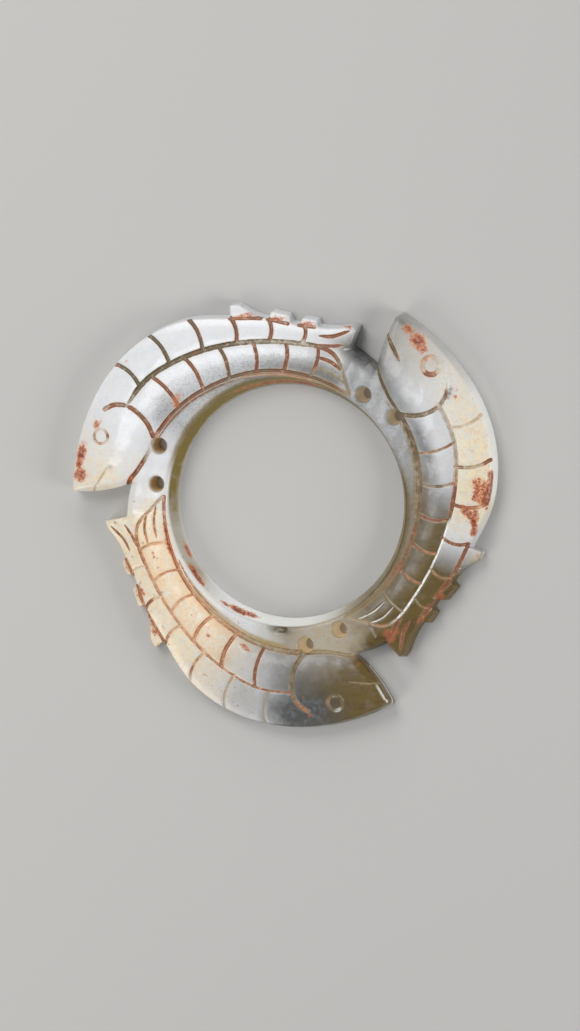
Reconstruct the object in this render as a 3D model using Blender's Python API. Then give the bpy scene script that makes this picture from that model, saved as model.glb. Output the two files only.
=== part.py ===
"""A flat ring of pale jade, carved as three fish that chase each other round its bore.

The ring lies on its plain back with the carved face up (+Z). Each fish runs
clockwise from its nose to its tail. A place on a fish is given by its angle
past that fish's nose and its radius from the bore's axis. Sizes are in metres
and angles in degrees. A share runs from 0 at the bore's front rim to 1 at the
outer radius, so the fish keep their form when a radius changes.
"""

import math

import bmesh
import bpy
from mathutils import Vector

# The ring
OUTER_RADIUS = 0.0525
BORE_RADIUS = 0.0270
BORE_FLARE = 0.0017
BORDER_THICKNESS = 0.0050
BORDER_ROUND = 0.0003
BORDER_ROUND_WIDTH = 0.0015

# The fish: how far their backs rise over the border and their rims fall below it
CROWN_RISE = 0.0004
RIM_DROP = 0.0014
WALL_LEAN = 0.0005
FIN_TIP_DROP = 0.0004
EDGE_CHAMFER = 0.0013

# The carved lines, each half as deep as it is wide
SCALE_LINE_WIDTH = 0.0009
FLANK_LINE_WIDTH = 0.0012
RAY_WIDTH = 0.0008
RAY_TAPER = 0.6
EYE_RADIUS = 0.0021
EYE_LINE_WIDTH = 0.0008

# The drilled holes, wide at the face and narrow at the back
HOLE_MOUTH_RADIUS = 0.0019
HOLE_EXIT_RADIUS = 0.0012
FIRST_HOLE_WALL = 0.0011
SECOND_HOLE_WALL = 0.0026
FIRST_HOLE_ANGLE = 5.0
SECOND_HOLE_ANGLE = 20.6

# A chip out of the bore's front rim
CHIP_DIRECTION = 265.0
CHIP_LENGTH = 0.0046
CHIP_WIDTH = 0.0032
CHIP_DEPTH = 0.0008

# The three fish, clockwise: the nose as a direction from the bore's axis, the eye as (angle, share)
# and how far the gill and the scales sit off the first fish's, by hand
FISH = (
    {"nose": 178.0, "eye": (16.3, 0.765), "shift": 0.0},
    {"nose": 58.2, "eye": (15.9, 0.815), "shift": -1.4},
    {"nose": -62.4, "eye": (14.1, 0.790), "shift": -1.3},
)

# The lines of one fish, as (angle, share), with the rounded corner of the nose where the back starts
NOSE_CORNER = (0.25, 0.985)
BACK_START = 0.8
BACK_LINE = [(0.0, 0.996), (26.0, 1.0), (38.0, 0.979), (48.0, 0.929), (58.0, 0.845), (70.5, 0.689),
             (82.0, 0.615), (90.0, 0.561), (100.0, 0.565), (105.0, 0.601), (109.0, 0.664), (111.2, 0.681)]
CORE_LINE = [(111.8, 0.462), (118.0, 0.437), (124.0, 0.412)]
FLANK_LINE = [(27.6, 0.643), (38.0, 0.626), (50.0, 0.542), (66.0, 0.441), (80.0, 0.382), (92.0, 0.361),
              (104.0, 0.362), (109.0, 0.315), (114.0, 0.181)]
BELLY_LINE = [(0.0, 0.412), (3.7, 0.412), (9.0, 0.332), (15.0, 0.277), (25.0, 0.252), (42.0, 0.197),
              (58.0, 0.139), (82.0, 0.092), (95.0, 0.066), (112.0, 0.045)]

# Lines that run across the fish, as (share, angle)
JAW_LINE = [(0.412, 3.7), (0.538, 2.0), (0.735, 0.5), (0.945, 0.0)]
GILL_LINE = [(0.261, 22.7), (0.391, 26.5), (0.588, 28.1), (0.748, 26.5), (0.832, 23.7)]
TAIL_END = 111.8
TAIL_TIP = 111.2

# Fins: their feet, their corners and the end of the line at their base, as angles, and the height
# over the back. A fin that is hollow behind its rear corner slopes down in a curve.
FINS = (
    {"foot": 70.7, "corner": 71.4, "rear_corner": 74.0, "rear_foot": 82.1, "base_end": 80.5,
     "height": 0.0030, "hollow": 2.0},
    {"foot": 82.6, "corner": 83.5, "rear_corner": 88.9, "rear_foot": 89.9, "base_end": 89.2,
     "height": 0.0017, "hollow": 1.0},
    {"foot": 92.8, "corner": 93.5, "rear_corner": 97.9, "rear_foot": 98.9, "base_end": 98.2,
     "height": 0.0015, "hollow": 1.0},
)

# Scales: two rows of bent lines that start at an angle and repeat by a step
UPPER_SCALES = {"count": 6, "start": 35.5, "step": 11.85, "bulge": 1.1, "foot": -0.3}
LOWER_SCALES = {"count": 6, "start": 39.8, "step": 12.25, "bulge": 1.3, "foot": -1.2}

# The mouth and the rays of the tail, as (angle, share)
MOUTH = [(-1.0, 0.786), (3.5, 0.704), (8.0, 0.630)]
TAIL_RAYS = (
    [(100.5, 0.468), (105.0, 0.500), (109.6, 0.605)],
    [(101.5, 0.385), (105.5, 0.405), (109.4, 0.455)],
    [(102.8, 0.252), (107.0, 0.262), (111.0, 0.240)],
    [(103.3, 0.155), (108.5, 0.158), (113.5, 0.122)],
)

# The face across a fish from belly to back: share of the body's width, share of the rise over the rim
DOME = [(0.0, 0.78), (0.15, 0.92), (0.45, 1.0), (0.80, 0.82), (0.95, 0.48), (1.0, 0.0)]

# How finely the curves are cut into facets
OUTLINE_STEP = 3.0
TAIL_STEP = 2.0
JAW_STEP = 0.11
STATION_STEP = 6.0
BORE_SIDES = 96
HOLE_SIDES = 18
EYE_SIDES = 14
CHIP_SIDES = 12
FIN_SLOPE_FACETS = 5
LINE_STEP = 0.0026
LONG_LINE_STEP = 0.0040
SMOOTH_ANGLE = 30.0
WELD_DISTANCE = 0.000001

# How far the cutters pass beyond what they cut
OVERCUT = 0.0010

BORE_FRONT_RADIUS = BORE_RADIUS + BORE_FLARE
CROWN_HEIGHT = BORDER_THICKNESS + CROWN_RISE
RIM_HEIGHT = BORDER_THICKNESS - RIM_DROP


def smooth_value(points, x):
    """The value at x on a smooth curve through points that run up in x."""
    last = len(points) - 1
    i = 0
    while i < last - 1 and x > points[i + 1][0]:
        i += 1

    def slope(k):
        before = points[max(k - 1, 0)]
        after = points[min(k + 1, last)]
        return (after[1] - before[1]) / (after[0] - before[0])

    (x0, y0), (x1, y1) = points[i], points[i + 1]
    span = x1 - x0
    t = min(max((x - x0) / span, 0.0), 1.0)
    rise = y1 - y0
    lead = slope(i) * span - rise
    trail = rise - slope(i + 1) * span
    return y0 + t * rise + t * (1 - t) * (lead * (1 - t) + trail * t)


def radius_of(share):
    return BORE_FRONT_RADIUS + share * (OUTER_RADIUS - BORE_FRONT_RADIUS)


def share_of(radius):
    return (radius - BORE_FRONT_RADIUS) / (OUTER_RADIUS - BORE_FRONT_RADIUS)


def line_radius(line, angle):
    return radius_of(smooth_value(line, angle))


def jaw_angle(radius):
    return smooth_value(JAW_LINE, share_of(radius))


def steps_between(start, end, step):
    """Evenly spaced values from start to end, no further apart than step."""
    count = max(1, math.ceil(abs(end - start) / step))
    return [start + (end - start) * i / count for i in range(count + 1)]


def polar(nose, angle, radius, height=0.0):
    """The point at an angle clockwise past a nose, a radius and a height."""
    turn = math.radians(nose - angle)
    return Vector((radius * math.cos(turn), radius * math.sin(turn), height))


def noses_in_turn():
    """Each fish's nose with the nose of the fish that follows it."""
    noses = [fish["nose"] for fish in FISH]
    return list(zip(noses, noses[1:] + [noses[0] - 360]))


def form_lines(angle):
    """The radii of the belly and the back at an angle, and in the gap before the next fish."""
    if angle < 0:
        angle += 360 / len(FISH)
    if angle <= TAIL_END:
        return line_radius(BELLY_LINE, angle), line_radius(BACK_LINE, angle)
    return line_radius(BELLY_LINE, 0), line_radius(BACK_LINE, 0)


def form_height(angle, radius):
    """Height of the domed form at an angle past a nose and a radius."""
    belly, back = form_lines(angle)
    if radius < belly:
        inward = (BORE_FRONT_RADIUS + BORDER_ROUND_WIDTH - radius) / BORDER_ROUND_WIDTH
        return BORDER_THICKNESS - BORDER_ROUND * min(max(inward, 0.0), 1.0)
    across = (radius - belly) / (back - belly)
    if across > 1:
        beyond = min((radius - back) / FINS[0]["height"], 1.0)
        return RIM_HEIGHT - FIN_TIP_DROP * beyond
    i = max(k for k in range(len(DOME) - 1) if DOME[k][0] <= across)
    (t0, rise0), (t1, rise1) = DOME[i], DOME[i + 1]
    rise = rise0 + (rise1 - rise0) * (across - t0) / (t1 - t0)
    return RIM_HEIGHT + (CROWN_HEIGHT - RIM_HEIGHT) * rise


def face_height(angle, radius):
    """Height of the carved face, with the chamfers of the jaw and the tail's end."""
    height = form_height(angle, radius)
    from_jaw = math.radians(angle - jaw_angle(radius)) * radius
    from_tail = math.radians(TAIL_END - angle) * radius
    if radius > radius_of(CORE_LINE[-1][1]):
        height -= min(max(EDGE_CHAMFER - min(from_jaw, from_tail), 0.0), EDGE_CHAMFER)
    return height


def fin_points(fin):
    """A fin's outline from foot to foot, as (angle, radius)."""
    front, rear = fin["corner"], fin["rear_corner"]
    points = [(fin["foot"], line_radius(BACK_LINE, fin["foot"]))]
    points.append((front, line_radius(BACK_LINE, front) + fin["height"]))
    points.append((rear, line_radius(BACK_LINE, rear) + fin["height"]))
    count = FIN_SLOPE_FACETS if fin["hollow"] > 1 else 1
    for i in range(1, count + 1):
        down = i / count
        angle = rear + (fin["rear_foot"] - rear) * down
        over = fin["height"] * (1 - down) ** fin["hollow"]
        points.append((angle, line_radius(BACK_LINE, angle) + over))
    return points


def fish_outline(nose, next_nose):
    """The outline from one fish's jaw over its back and tail to the next fish's jaw."""
    points = []
    for share in steps_between(JAW_LINE[0][0], JAW_LINE[-1][0], JAW_STEP):
        points.append((smooth_value(JAW_LINE, share), radius_of(share)))
    corner_angle, corner_share = NOSE_CORNER
    points.append((corner_angle, radius_of(corner_share)))
    back_start = BACK_START
    for fin in FINS:
        points += [(a, line_radius(BACK_LINE, a))
                   for a in steps_between(back_start, fin["foot"], OUTLINE_STEP)[:-1]]
        points += fin_points(fin)
        back_start = fin["rear_foot"]
    points += [(a, line_radius(BACK_LINE, a)) for a in steps_between(back_start, TAIL_TIP, TAIL_STEP)[1:]]
    gap_end = nose - next_nose + JAW_LINE[0][1]
    points += [(a, line_radius(CORE_LINE, a)) for a in steps_between(TAIL_END, gap_end, OUTLINE_STEP)[:-1]]
    return [polar(nose, angle, radius) for angle, radius in points]


def ring_outline():
    points = []
    for nose, next_nose in noses_in_turn():
        points += fish_outline(nose, next_nose)
    return points


def new_object(name, mesh, collection, centre):
    obj = bpy.data.objects.new(name, mesh)
    collection.objects.link(obj)
    obj.parent = centre
    return obj


def mesh_of_curve(curve):
    """A welded mesh of a curve's filled and capped shape."""
    holder = bpy.data.objects.new(curve.name, curve)
    bpy.context.scene.collection.objects.link(holder)
    bpy.context.view_layer.update()
    evaluated = holder.evaluated_get(bpy.context.evaluated_depsgraph_get())
    mesh = bpy.data.meshes.new_from_object(evaluated)
    bpy.data.objects.remove(holder)
    welded = bmesh.new()
    welded.from_mesh(mesh)
    bmesh.ops.remove_doubles(welded, verts=welded.verts, dist=WELD_DISTANCE)
    bmesh.ops.recalc_face_normals(welded, faces=welded.faces)
    welded.to_mesh(mesh)
    welded.free()
    return mesh


def blank_mesh(outline):
    """The flat blank, sawn to the outline with leaning walls and a little thicker than the ring."""
    curve = bpy.data.curves.new("blank", "CURVE")
    curve.dimensions = "2D"
    curve.fill_mode = "BOTH"
    curve.extrude = (CROWN_HEIGHT + OVERCUT) / 2
    spline = curve.splines.new("POLY")
    spline.points.add(len(outline) - 1)
    for point, place in zip(spline.points, outline):
        point.co = (place.x, place.y, 0, 1)
    spline.use_cyclic_u = True
    mesh = mesh_of_curve(curve)
    for vertex in mesh.vertices:
        vertex.co.z += curve.extrude
        lean = WALL_LEAN * vertex.co.z / RIM_HEIGHT
        vertex.co.xy *= 1 - lean / vertex.co.xy.length
    return mesh


def form_section(nose, angle):
    """One section of the domed form, from inside the bore out past the fins."""
    belly, back = form_lines(angle)
    inside = BORE_RADIUS - OVERCUT
    outside = OUTER_RADIUS + FINS[0]["height"] + OVERCUT
    radii = [inside, BORE_FRONT_RADIUS, BORE_FRONT_RADIUS + BORDER_ROUND_WIDTH]
    radii += [belly + share * (back - belly) for share, rise in DOME]
    radii += [min(back + FINS[0]["height"], outside - OVERCUT / 2), outside]
    section = [polar(nose, angle, inside, -OVERCUT)]
    section += [polar(nose, angle, radius, form_height(angle, radius)) for radius in sorted(radii)]
    section.append(polar(nose, angle, outside, -OVERCUT))
    return section


def form_mesh():
    """The domed form that the blank is worked down to: a loft of sections round the bore."""
    angles = steps_between(0.0, TAIL_END, STATION_STEP) + [TAIL_END + STATION_STEP / 2]
    sections = [form_section(fish["nose"], angle) for fish in FISH for angle in angles]
    loft = bmesh.new()
    rings = [[loft.verts.new(point) for point in section] for section in sections]
    for ring, following in zip(rings, rings[1:] + rings[:1]):
        for i in range(len(ring)):
            k = (i + 1) % len(ring)
            loft.faces.new((ring[i], ring[k], following[k], following[i]))
    bmesh.ops.triangulate(loft, faces=loft.faces)
    bmesh.ops.recalc_face_normals(loft, faces=loft.faces)
    mesh = bpy.data.meshes.new("form")
    loft.to_mesh(mesh)
    loft.free()
    return mesh


def cone_mesh(name, bottom_radius, top_radius, sides):
    """A cone that passes a little beyond the back and the crown, keeping its slope."""
    height = CROWN_HEIGHT + OVERCUT
    slope = (top_radius - bottom_radius) / BORDER_THICKNESS
    cone = bmesh.new()
    bmesh.ops.create_cone(cone, cap_ends=True, segments=sides, depth=height + OVERCUT,
                          radius1=bottom_radius - slope * OVERCUT, radius2=bottom_radius + slope * height)
    bmesh.ops.translate(cone, verts=cone.verts, vec=(0, 0, (height - OVERCUT) / 2))
    mesh = bpy.data.meshes.new(name)
    cone.to_mesh(mesh)
    cone.free()
    return mesh


def chip_mesh():
    chip = bmesh.new()
    bmesh.ops.create_uvsphere(chip, u_segments=CHIP_SIDES, v_segments=CHIP_SIDES // 2, radius=0.5)
    bmesh.ops.scale(chip, verts=chip.verts, vec=(CHIP_WIDTH, CHIP_LENGTH, 2 * CHIP_DEPTH))
    mesh = bpy.data.meshes.new("chip")
    chip.to_mesh(mesh)
    chip.free()
    return mesh


def cutter_along(name, places, size, closed=False, tapered=False):
    """A four-sided cutter, edge down, along places in space. It reaches size to each side."""
    curve = bpy.data.curves.new(name, "CURVE")
    curve.dimensions = "3D"
    curve.bevel_depth = size
    curve.bevel_resolution = 0
    curve.use_fill_caps = not closed
    spline = curve.splines.new("POLY")
    last = len(places) - 1
    spline.points.add(last)
    spline.use_cyclic_u = closed
    for i, place in enumerate(places):
        spline.points[i].co = (*place, 1)
        if tapered:
            spline.points[i].radius = 1 - RAY_TAPER * abs(2 * i / last - 1) ** 3
    return mesh_of_curve(curve)


def chamfer_mesh(name, nose, next_nose):
    """A four-sided cutter along the edge from one tail's tip down to the ring and up the next jaw."""
    turn = nose - next_nose
    foot = turn + JAW_LINE[0][1]
    edge = [(TAIL_TIP, line_radius(BACK_LINE, TAIL_TIP) + EDGE_CHAMFER, CROWN_HEIGHT)]
    edge += [(a, line_radius(CORE_LINE, a), BORDER_THICKNESS)
             for a in steps_between(TAIL_END, foot, OUTLINE_STEP)]
    for share in steps_between(JAW_LINE[0][0], JAW_LINE[-1][0], JAW_STEP)[1:]:
        edge.append((turn + smooth_value(JAW_LINE, share), radius_of(share), CROWN_HEIGHT))
    edge.append((turn, OUTER_RADIUS + EDGE_CHAMFER, CROWN_HEIGHT))
    return cutter_along(name, [polar(nose, *place) for place in edge], EDGE_CHAMFER)


def along(line, start, end, step=LONG_LINE_STEP):
    """Places on a line from one angle to another, as (angle, radius)."""
    turn = math.degrees(step / radius_of(0.5))
    return [(angle, line_radius(line, angle)) for angle in steps_between(start, end, turn)]


def across_body(line):
    """Places on a line that runs across the fish, as (angle, radius)."""
    shares = steps_between(line[0][0], line[-1][0], LINE_STEP / (OUTER_RADIUS - BORE_FRONT_RADIUS))
    return [(smooth_value(line, share), radius_of(share)) for share in shares]


def scale_path(row, index, top_line, bottom_line, overrun):
    """One scale's bent line, from its top line to its bottom line."""
    top_angle = row["start"] + row["step"] * index
    top = line_radius(top_line, top_angle) + overrun
    bottom = line_radius(bottom_line, top_angle + row["foot"])
    path = []
    for down in steps_between(0.0, 1.0, LINE_STEP / (top - bottom)):
        bulge = 4 * row["bulge"] * down * (1 - down)
        path.append((top_angle + row["foot"] * down + bulge, top + (bottom - top) * down))
    return path


def eye_ring(eye):
    """Places round the eye's disc, as (angle, radius)."""
    eye_angle, eye_share = eye
    middle = radius_of(eye_share)
    ring = []
    for i in range(EYE_SIDES):
        turn = 2 * math.pi * i / EYE_SIDES
        aside = math.degrees(EYE_RADIUS * math.cos(turn) / middle)
        ring.append((eye_angle + aside, middle + EYE_RADIUS * math.sin(turn)))
    return ring


def shifted(path, shift):
    return [(angle + shift, radius) for angle, radius in path]


def carved_lines(number, fish):
    """All the lines cut into one fish, as (name, mesh)."""
    cuts = []

    def cut(name, path, width, closed=False, tapered=False):
        label = f"{name}_{number}"
        places = [polar(fish["nose"], angle, radius, face_height(angle, radius)) for angle, radius in path]
        cuts.append((label, cutter_along(label, places, width / 2, closed, tapered)))

    cut("flank", along(FLANK_LINE, FLANK_LINE[0][0] + fish["shift"], FLANK_LINE[-1][0]), FLANK_LINE_WIDTH)
    cut("belly", along(BELLY_LINE, JAW_LINE[0][1], BELLY_LINE[-1][0]), FLANK_LINE_WIDTH)
    cut("gill", shifted(across_body(GILL_LINE), fish["shift"]), FLANK_LINE_WIDTH)
    cut("mouth", along(MOUTH, MOUTH[0][0], MOUTH[-1][0]), SCALE_LINE_WIDTH)
    for i in range(UPPER_SCALES["count"]):
        path = scale_path(UPPER_SCALES, i, BACK_LINE, FLANK_LINE, OVERCUT / 2)
        cut(f"upper_scale_{i}", shifted(path, fish["shift"]), SCALE_LINE_WIDTH)
    for i in range(LOWER_SCALES["count"]):
        path = scale_path(LOWER_SCALES, i, FLANK_LINE, BELLY_LINE, 0.0)
        cut(f"lower_scale_{i}", shifted(path, fish["shift"]), SCALE_LINE_WIDTH)
    for i, ray in enumerate(TAIL_RAYS):
        cut(f"ray_{i}", along(ray, ray[0][0], ray[-1][0], LINE_STEP), RAY_WIDTH, tapered=True)
    for i, fin in enumerate(FINS):
        cut(f"fin_{i}", along(BACK_LINE, fin["foot"], fin["base_end"]), RAY_WIDTH)
    cut("eye", eye_ring(fish["eye"]), EYE_LINE_WIDTH, closed=True)
    return cuts


def drilled_holes():
    """Two holes below each head, as (name, place)."""
    holes = []
    for number, fish in enumerate(FISH):
        for label, angle, wall in (("nose", FIRST_HOLE_ANGLE, FIRST_HOLE_WALL),
                                   ("gill", SECOND_HOLE_ANGLE, SECOND_HOLE_WALL)):
            radius = BORE_FRONT_RADIUS + wall + HOLE_MOUTH_RADIUS
            holes.append((f"{label}_hole_{number}", polar(fish["nose"], angle, radius)))
    return holes


def jade_material():
    material = bpy.data.materials.new("pale jade")
    material.use_nodes = True
    shader = material.node_tree.nodes["Principled BSDF"]
    shader.inputs["Base Color"].default_value = (0.66, 0.67, 0.58, 1)
    shader.inputs["Roughness"].default_value = 0.28
    shader.inputs["Metallic"].default_value = 0.0
    return material


def new_collection(name, parent):
    collection = bpy.data.collections.new(name)
    parent.children.link(collection)
    return collection


def add_boolean(obj, name, operation, operand):
    """A cut by the manifold solver: the exact one leaves open edges where fine lines cross."""
    modifier = obj.modifiers.new(name, "BOOLEAN")
    modifier.operation = operation
    modifier.solver = "MANIFOLD"
    if isinstance(operand, bpy.types.Collection):
        modifier.operand_type = "COLLECTION"
        modifier.collection = operand
    else:
        modifier.object = operand


def finish_cuts(obj):
    """Makes the cuts final and shades the result smooth between its sharp edges."""
    bpy.context.view_layer.update()
    evaluated = obj.evaluated_get(bpy.context.evaluated_depsgraph_get())
    obj.data = bpy.data.meshes.new_from_object(evaluated)
    obj.modifiers.clear()
    obj.data.shade_smooth()
    obj.data.set_sharp_from_angle(angle=math.radians(SMOOTH_ANGLE))


def add_cutter(name, mesh, collection, centre):
    obj = new_object(name, mesh, collection, centre)
    obj.display_type = "WIRE"
    obj.hide_render = True
    return obj


def main():
    for obj in list(bpy.data.objects):
        bpy.data.objects.remove(obj)
    scene = bpy.context.scene
    parts = new_collection("Jade ring pendant", scene.collection)
    cutters = new_collection("Cutters", scene.collection)
    holes = new_collection("Drilled holes", cutters)
    lines = new_collection("Carved lines", cutters)

    outline = ring_outline()
    middle_x = (min(p.x for p in outline) + max(p.x for p in outline)) / 2
    middle_y = (min(p.y for p in outline) + max(p.y for p in outline)) / 2
    centre = bpy.data.objects.new("bore_axis", None)
    centre.location = (-middle_x, -middle_y, 0)
    parts.objects.link(centre)

    form = add_cutter("form", form_mesh(), cutters, centre)
    bore_mesh = cone_mesh("bore", BORE_RADIUS, BORE_FRONT_RADIUS, BORE_SIDES)
    bore = add_cutter("bore", bore_mesh, cutters, centre)
    chip = add_cutter("chip", chip_mesh(), cutters, centre)
    chip.location = polar(CHIP_DIRECTION, 0, BORE_FRONT_RADIUS, BORDER_THICKNESS - BORDER_ROUND)
    chip.rotation_euler.z = math.radians(CHIP_DIRECTION)
    for name, place in drilled_holes():
        hole_mesh = cone_mesh(name, HOLE_EXIT_RADIUS, HOLE_MOUTH_RADIUS, HOLE_SIDES)
        add_cutter(name, hole_mesh, holes, centre).location = place
    for number, (nose, next_nose) in enumerate(noses_in_turn()):
        chamfer = f"chamfer_{number}"
        add_cutter(chamfer, chamfer_mesh(chamfer, nose, next_nose), lines, centre)
    for number, fish in enumerate(FISH):
        for name, mesh in carved_lines(number, fish):
            add_cutter(name, mesh, lines, centre)

    ring = new_object("three_fish_ring", blank_mesh(outline), parts, centre)
    ring.data.materials.append(jade_material())
    add_boolean(ring, "worked to its form", "INTERSECT", form)
    add_boolean(ring, "bore", "DIFFERENCE", bore)
    add_boolean(ring, "drilled holes", "DIFFERENCE", holes)
    add_boolean(ring, "carved lines", "DIFFERENCE", lines)
    add_boolean(ring, "chip", "DIFFERENCE", chip)
    finish_cuts(ring)


main()
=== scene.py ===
"""The looks of a jade ring pendant, carved as three fish that chase each other round its bore.

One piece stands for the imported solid: the same ring with rounded edges, softly
domed scales, carved lines with a flat floor, flared holes, a chip, and the
colours and stains of the stone. A place on a fish is an angle clockwise past
its nose and a radius from the bore's axis. A share runs from 0 at the bore's
front rim to 1 at the outer radius. Sizes are in metres, angles in degrees.
"""

import math

import bpy
import numpy as np
from mathutils import Matrix, Quaternion, Vector, kdtree
from mathutils.geometry import delaunay_2d_cdt


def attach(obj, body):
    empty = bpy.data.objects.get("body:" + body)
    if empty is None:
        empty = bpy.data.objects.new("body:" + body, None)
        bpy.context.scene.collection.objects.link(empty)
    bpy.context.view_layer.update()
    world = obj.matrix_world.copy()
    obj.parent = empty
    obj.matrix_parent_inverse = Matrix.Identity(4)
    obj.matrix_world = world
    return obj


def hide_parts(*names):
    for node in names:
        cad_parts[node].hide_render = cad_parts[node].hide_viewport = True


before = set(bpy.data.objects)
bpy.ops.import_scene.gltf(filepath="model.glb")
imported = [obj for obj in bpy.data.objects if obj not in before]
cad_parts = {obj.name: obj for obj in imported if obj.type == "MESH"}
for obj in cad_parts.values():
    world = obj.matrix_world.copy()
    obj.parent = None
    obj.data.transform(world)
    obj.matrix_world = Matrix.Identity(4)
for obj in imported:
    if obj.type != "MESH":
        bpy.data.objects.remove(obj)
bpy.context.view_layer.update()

MM = 0.001

# The ring, as the model has it
OUTER_RADIUS = 52.5 * MM
BORE_RADIUS = 27.0 * MM
BORE_FLARE = 1.7 * MM
BORDER_THICKNESS = 5.0 * MM
CROWN_RISE = 0.4 * MM
RIM_DROP = 1.4 * MM
WALL_LEAN = 0.5 * MM
FIN_TIP_DROP = 0.4 * MM
EDGE_CHAMFER = 1.3 * MM
BORE_FRONT_RADIUS = BORE_RADIUS + BORE_FLARE
CROWN_HEIGHT = BORDER_THICKNESS + CROWN_RISE
RIM_HEIGHT = BORDER_THICKNESS - RIM_DROP
BODY_DEPTH = OUTER_RADIUS - BORE_FRONT_RADIUS

# The carved lines
FLANK_LINE_WIDTH = 1.2 * MM
SCALE_LINE_WIDTH = 0.95 * MM
RAY_WIDTH = 0.8 * MM
GUIDE_WIDTH = 0.45 * MM
FLOOR_FLATNESS = 2.6
LIP_SOFTNESS = 1.25

# The drilled holes, wide at the face and narrow at the back
HOLE_MOUTH_RADIUS = 1.9 * MM
HOLE_EXIT_RADIUS = 1.2 * MM
HOLE_PLACES = ((5.0, 1.1 * MM), (20.6, 2.6 * MM))

# A chip out of the bore's front rim, by direction from the axis
CHIP_DIRECTION = 265.0
CHIP_LENGTH = 4.6 * MM
CHIP_WIDTH = 3.2 * MM
CHIP_DEPTH = 0.8 * MM
CHIP_EDGE_DROP = 0.25 * MM
CHIP_EDGE_WAVE = 0.25 * MM
CHIP_FLOOR_WAVE = 0.08 * MM

# The three fish, clockwise: the nose as a direction, the eye as (angle, share), the middle and the
# width of its ring, how far the gill and the scales sit off the first fish's, and how deep the mouth is
FISH = (
    {"nose": 178.0, "eye": (16.3, 0.765), "eye_radius": 1.67 * MM, "eye_width": 0.66 * MM, "shift": 0.0,
     "mouth": 0.55},
    {"nose": 58.2, "eye": (15.9, 0.815), "eye_radius": 2.0 * MM, "eye_width": 1.25 * MM, "shift": -1.4,
     "mouth": 1.0},
    {"nose": -62.4, "eye": (14.1, 0.790), "eye_radius": 1.78 * MM, "eye_width": 0.8 * MM, "shift": -1.3,
     "mouth": 0.35},
)

# Where the edge over a fish's back starts and ends, and where the edge below its tail starts, as angles
BACK_START = 0.8
TAIL_TIP = 111.2
TAIL_END = 111.8

# The lines of one fish, as (angle, share)
NOSE_CORNER = (0.25, 0.985)
BACK_LINE = ((0.0, 0.996), (26.0, 1.0), (38.0, 0.979), (48.0, 0.929), (58.0, 0.845), (70.5, 0.689),
             (82.0, 0.615), (90.0, 0.561), (100.0, 0.565), (105.0, 0.601), (109.0, 0.664), (111.2, 0.681))
CORE_LINE = ((111.8, 0.462), (118.0, 0.437), (124.0, 0.412))
FLANK_LINE = ((27.6, 0.643), (38.0, 0.626), (50.0, 0.542), (66.0, 0.441), (80.0, 0.382), (92.0, 0.361),
              (104.0, 0.362), (109.0, 0.315), (114.0, 0.181), (119.5, 0.052))
BELLY_LINE = ((0.0, 0.412), (3.7, 0.412), (9.0, 0.332), (15.0, 0.277), (25.0, 0.252), (42.0, 0.197),
              (58.0, 0.139), (82.0, 0.092), (95.0, 0.066), (112.0, 0.045), (119.5, 0.035))
MOUTH = ((-1.0, 0.786), (3.5, 0.704), (8.0, 0.630))
TAIL_RAYS = (
    ((100.5, 0.468), (105.0, 0.500), (109.6, 0.605)),
    ((101.5, 0.385), (105.5, 0.405), (109.4, 0.455)),
    ((101.2, 0.262), (107.0, 0.260), (112.2, 0.222)),
    ((102.4, 0.162), (108.5, 0.157), (115.4, 0.122)),
)

# Thin lines scratched beside the bellies, as (fish, start, end, how far below the belly line, rust, strength)
GUIDES = (
    (0, 24.0, 64.0, 0.90 * MM, 0.35, 0.75),
    (0, 66.0, 104.0, 0.85 * MM, 0.75, 0.5),
    (1, 14.0, 60.0, 0.95 * MM, 0.15, 0.55),
    (2, 62.0, 90.0, 1.0 * MM, 0.6, 0.6),
)

# Lines that run across a fish, as (share, angle)
JAW_LINE = ((0.412, 3.7), (0.538, 2.0), (0.735, 0.5), (0.945, 0.0))
GILL_LINE = ((0.261, 22.7), (0.391, 26.5), (0.588, 28.1), (0.748, 26.5), (0.832, 23.7))

# Fins: feet, corners and the end of the line at their base, as angles, and the height over the back
FINS = (
    {"foot": 70.7, "corner": 71.4, "rear_corner": 74.0, "rear_foot": 82.1, "base_end": 80.5,
     "height": 3.0 * MM, "hollow": 2.0},
    {"foot": 82.6, "corner": 83.5, "rear_corner": 88.9, "rear_foot": 89.9, "base_end": 89.2,
     "height": 1.7 * MM, "hollow": 1.0},
    {"foot": 92.8, "corner": 93.5, "rear_corner": 97.9, "rear_foot": 98.9, "base_end": 98.2,
     "height": 1.5 * MM, "hollow": 1.0},
)

# Scales: two rows of bent lines that start at an angle and repeat by a step
UPPER_SCALES = {"count": 6, "start": 35.5, "step": 11.85, "bulge": 1.1, "foot": -0.3}
LOWER_SCALES = {"count": 6, "start": 39.8, "step": 12.25, "bulge": 1.3, "foot": -1.2}

# The face across a fish from belly to back: share of the body's width, share of the rise over the rim
DOME = ((0.0, 0.72), (0.12, 0.88), (0.30, 0.98), (0.42, 1.0), (0.55, 0.97), (0.70, 0.86), (0.85, 0.67),
        (0.95, 0.46), (1.0, 0.28))
ROW_PILLOW = 0.10 * MM
SCALE_PILLOW = 0.03 * MM

# How far the edges are rounded
EDGE_ROUND = 0.32 * MM
BORE_ROUND = 0.70 * MM
HOLE_ROUND = 0.30 * MM
BACK_ROUND = 0.24 * MM
CORNER_PASSES = 9
EDGE_INSET = 0.45 * MM
FIN_LINE_INSET = 0.55 * MM

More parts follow.
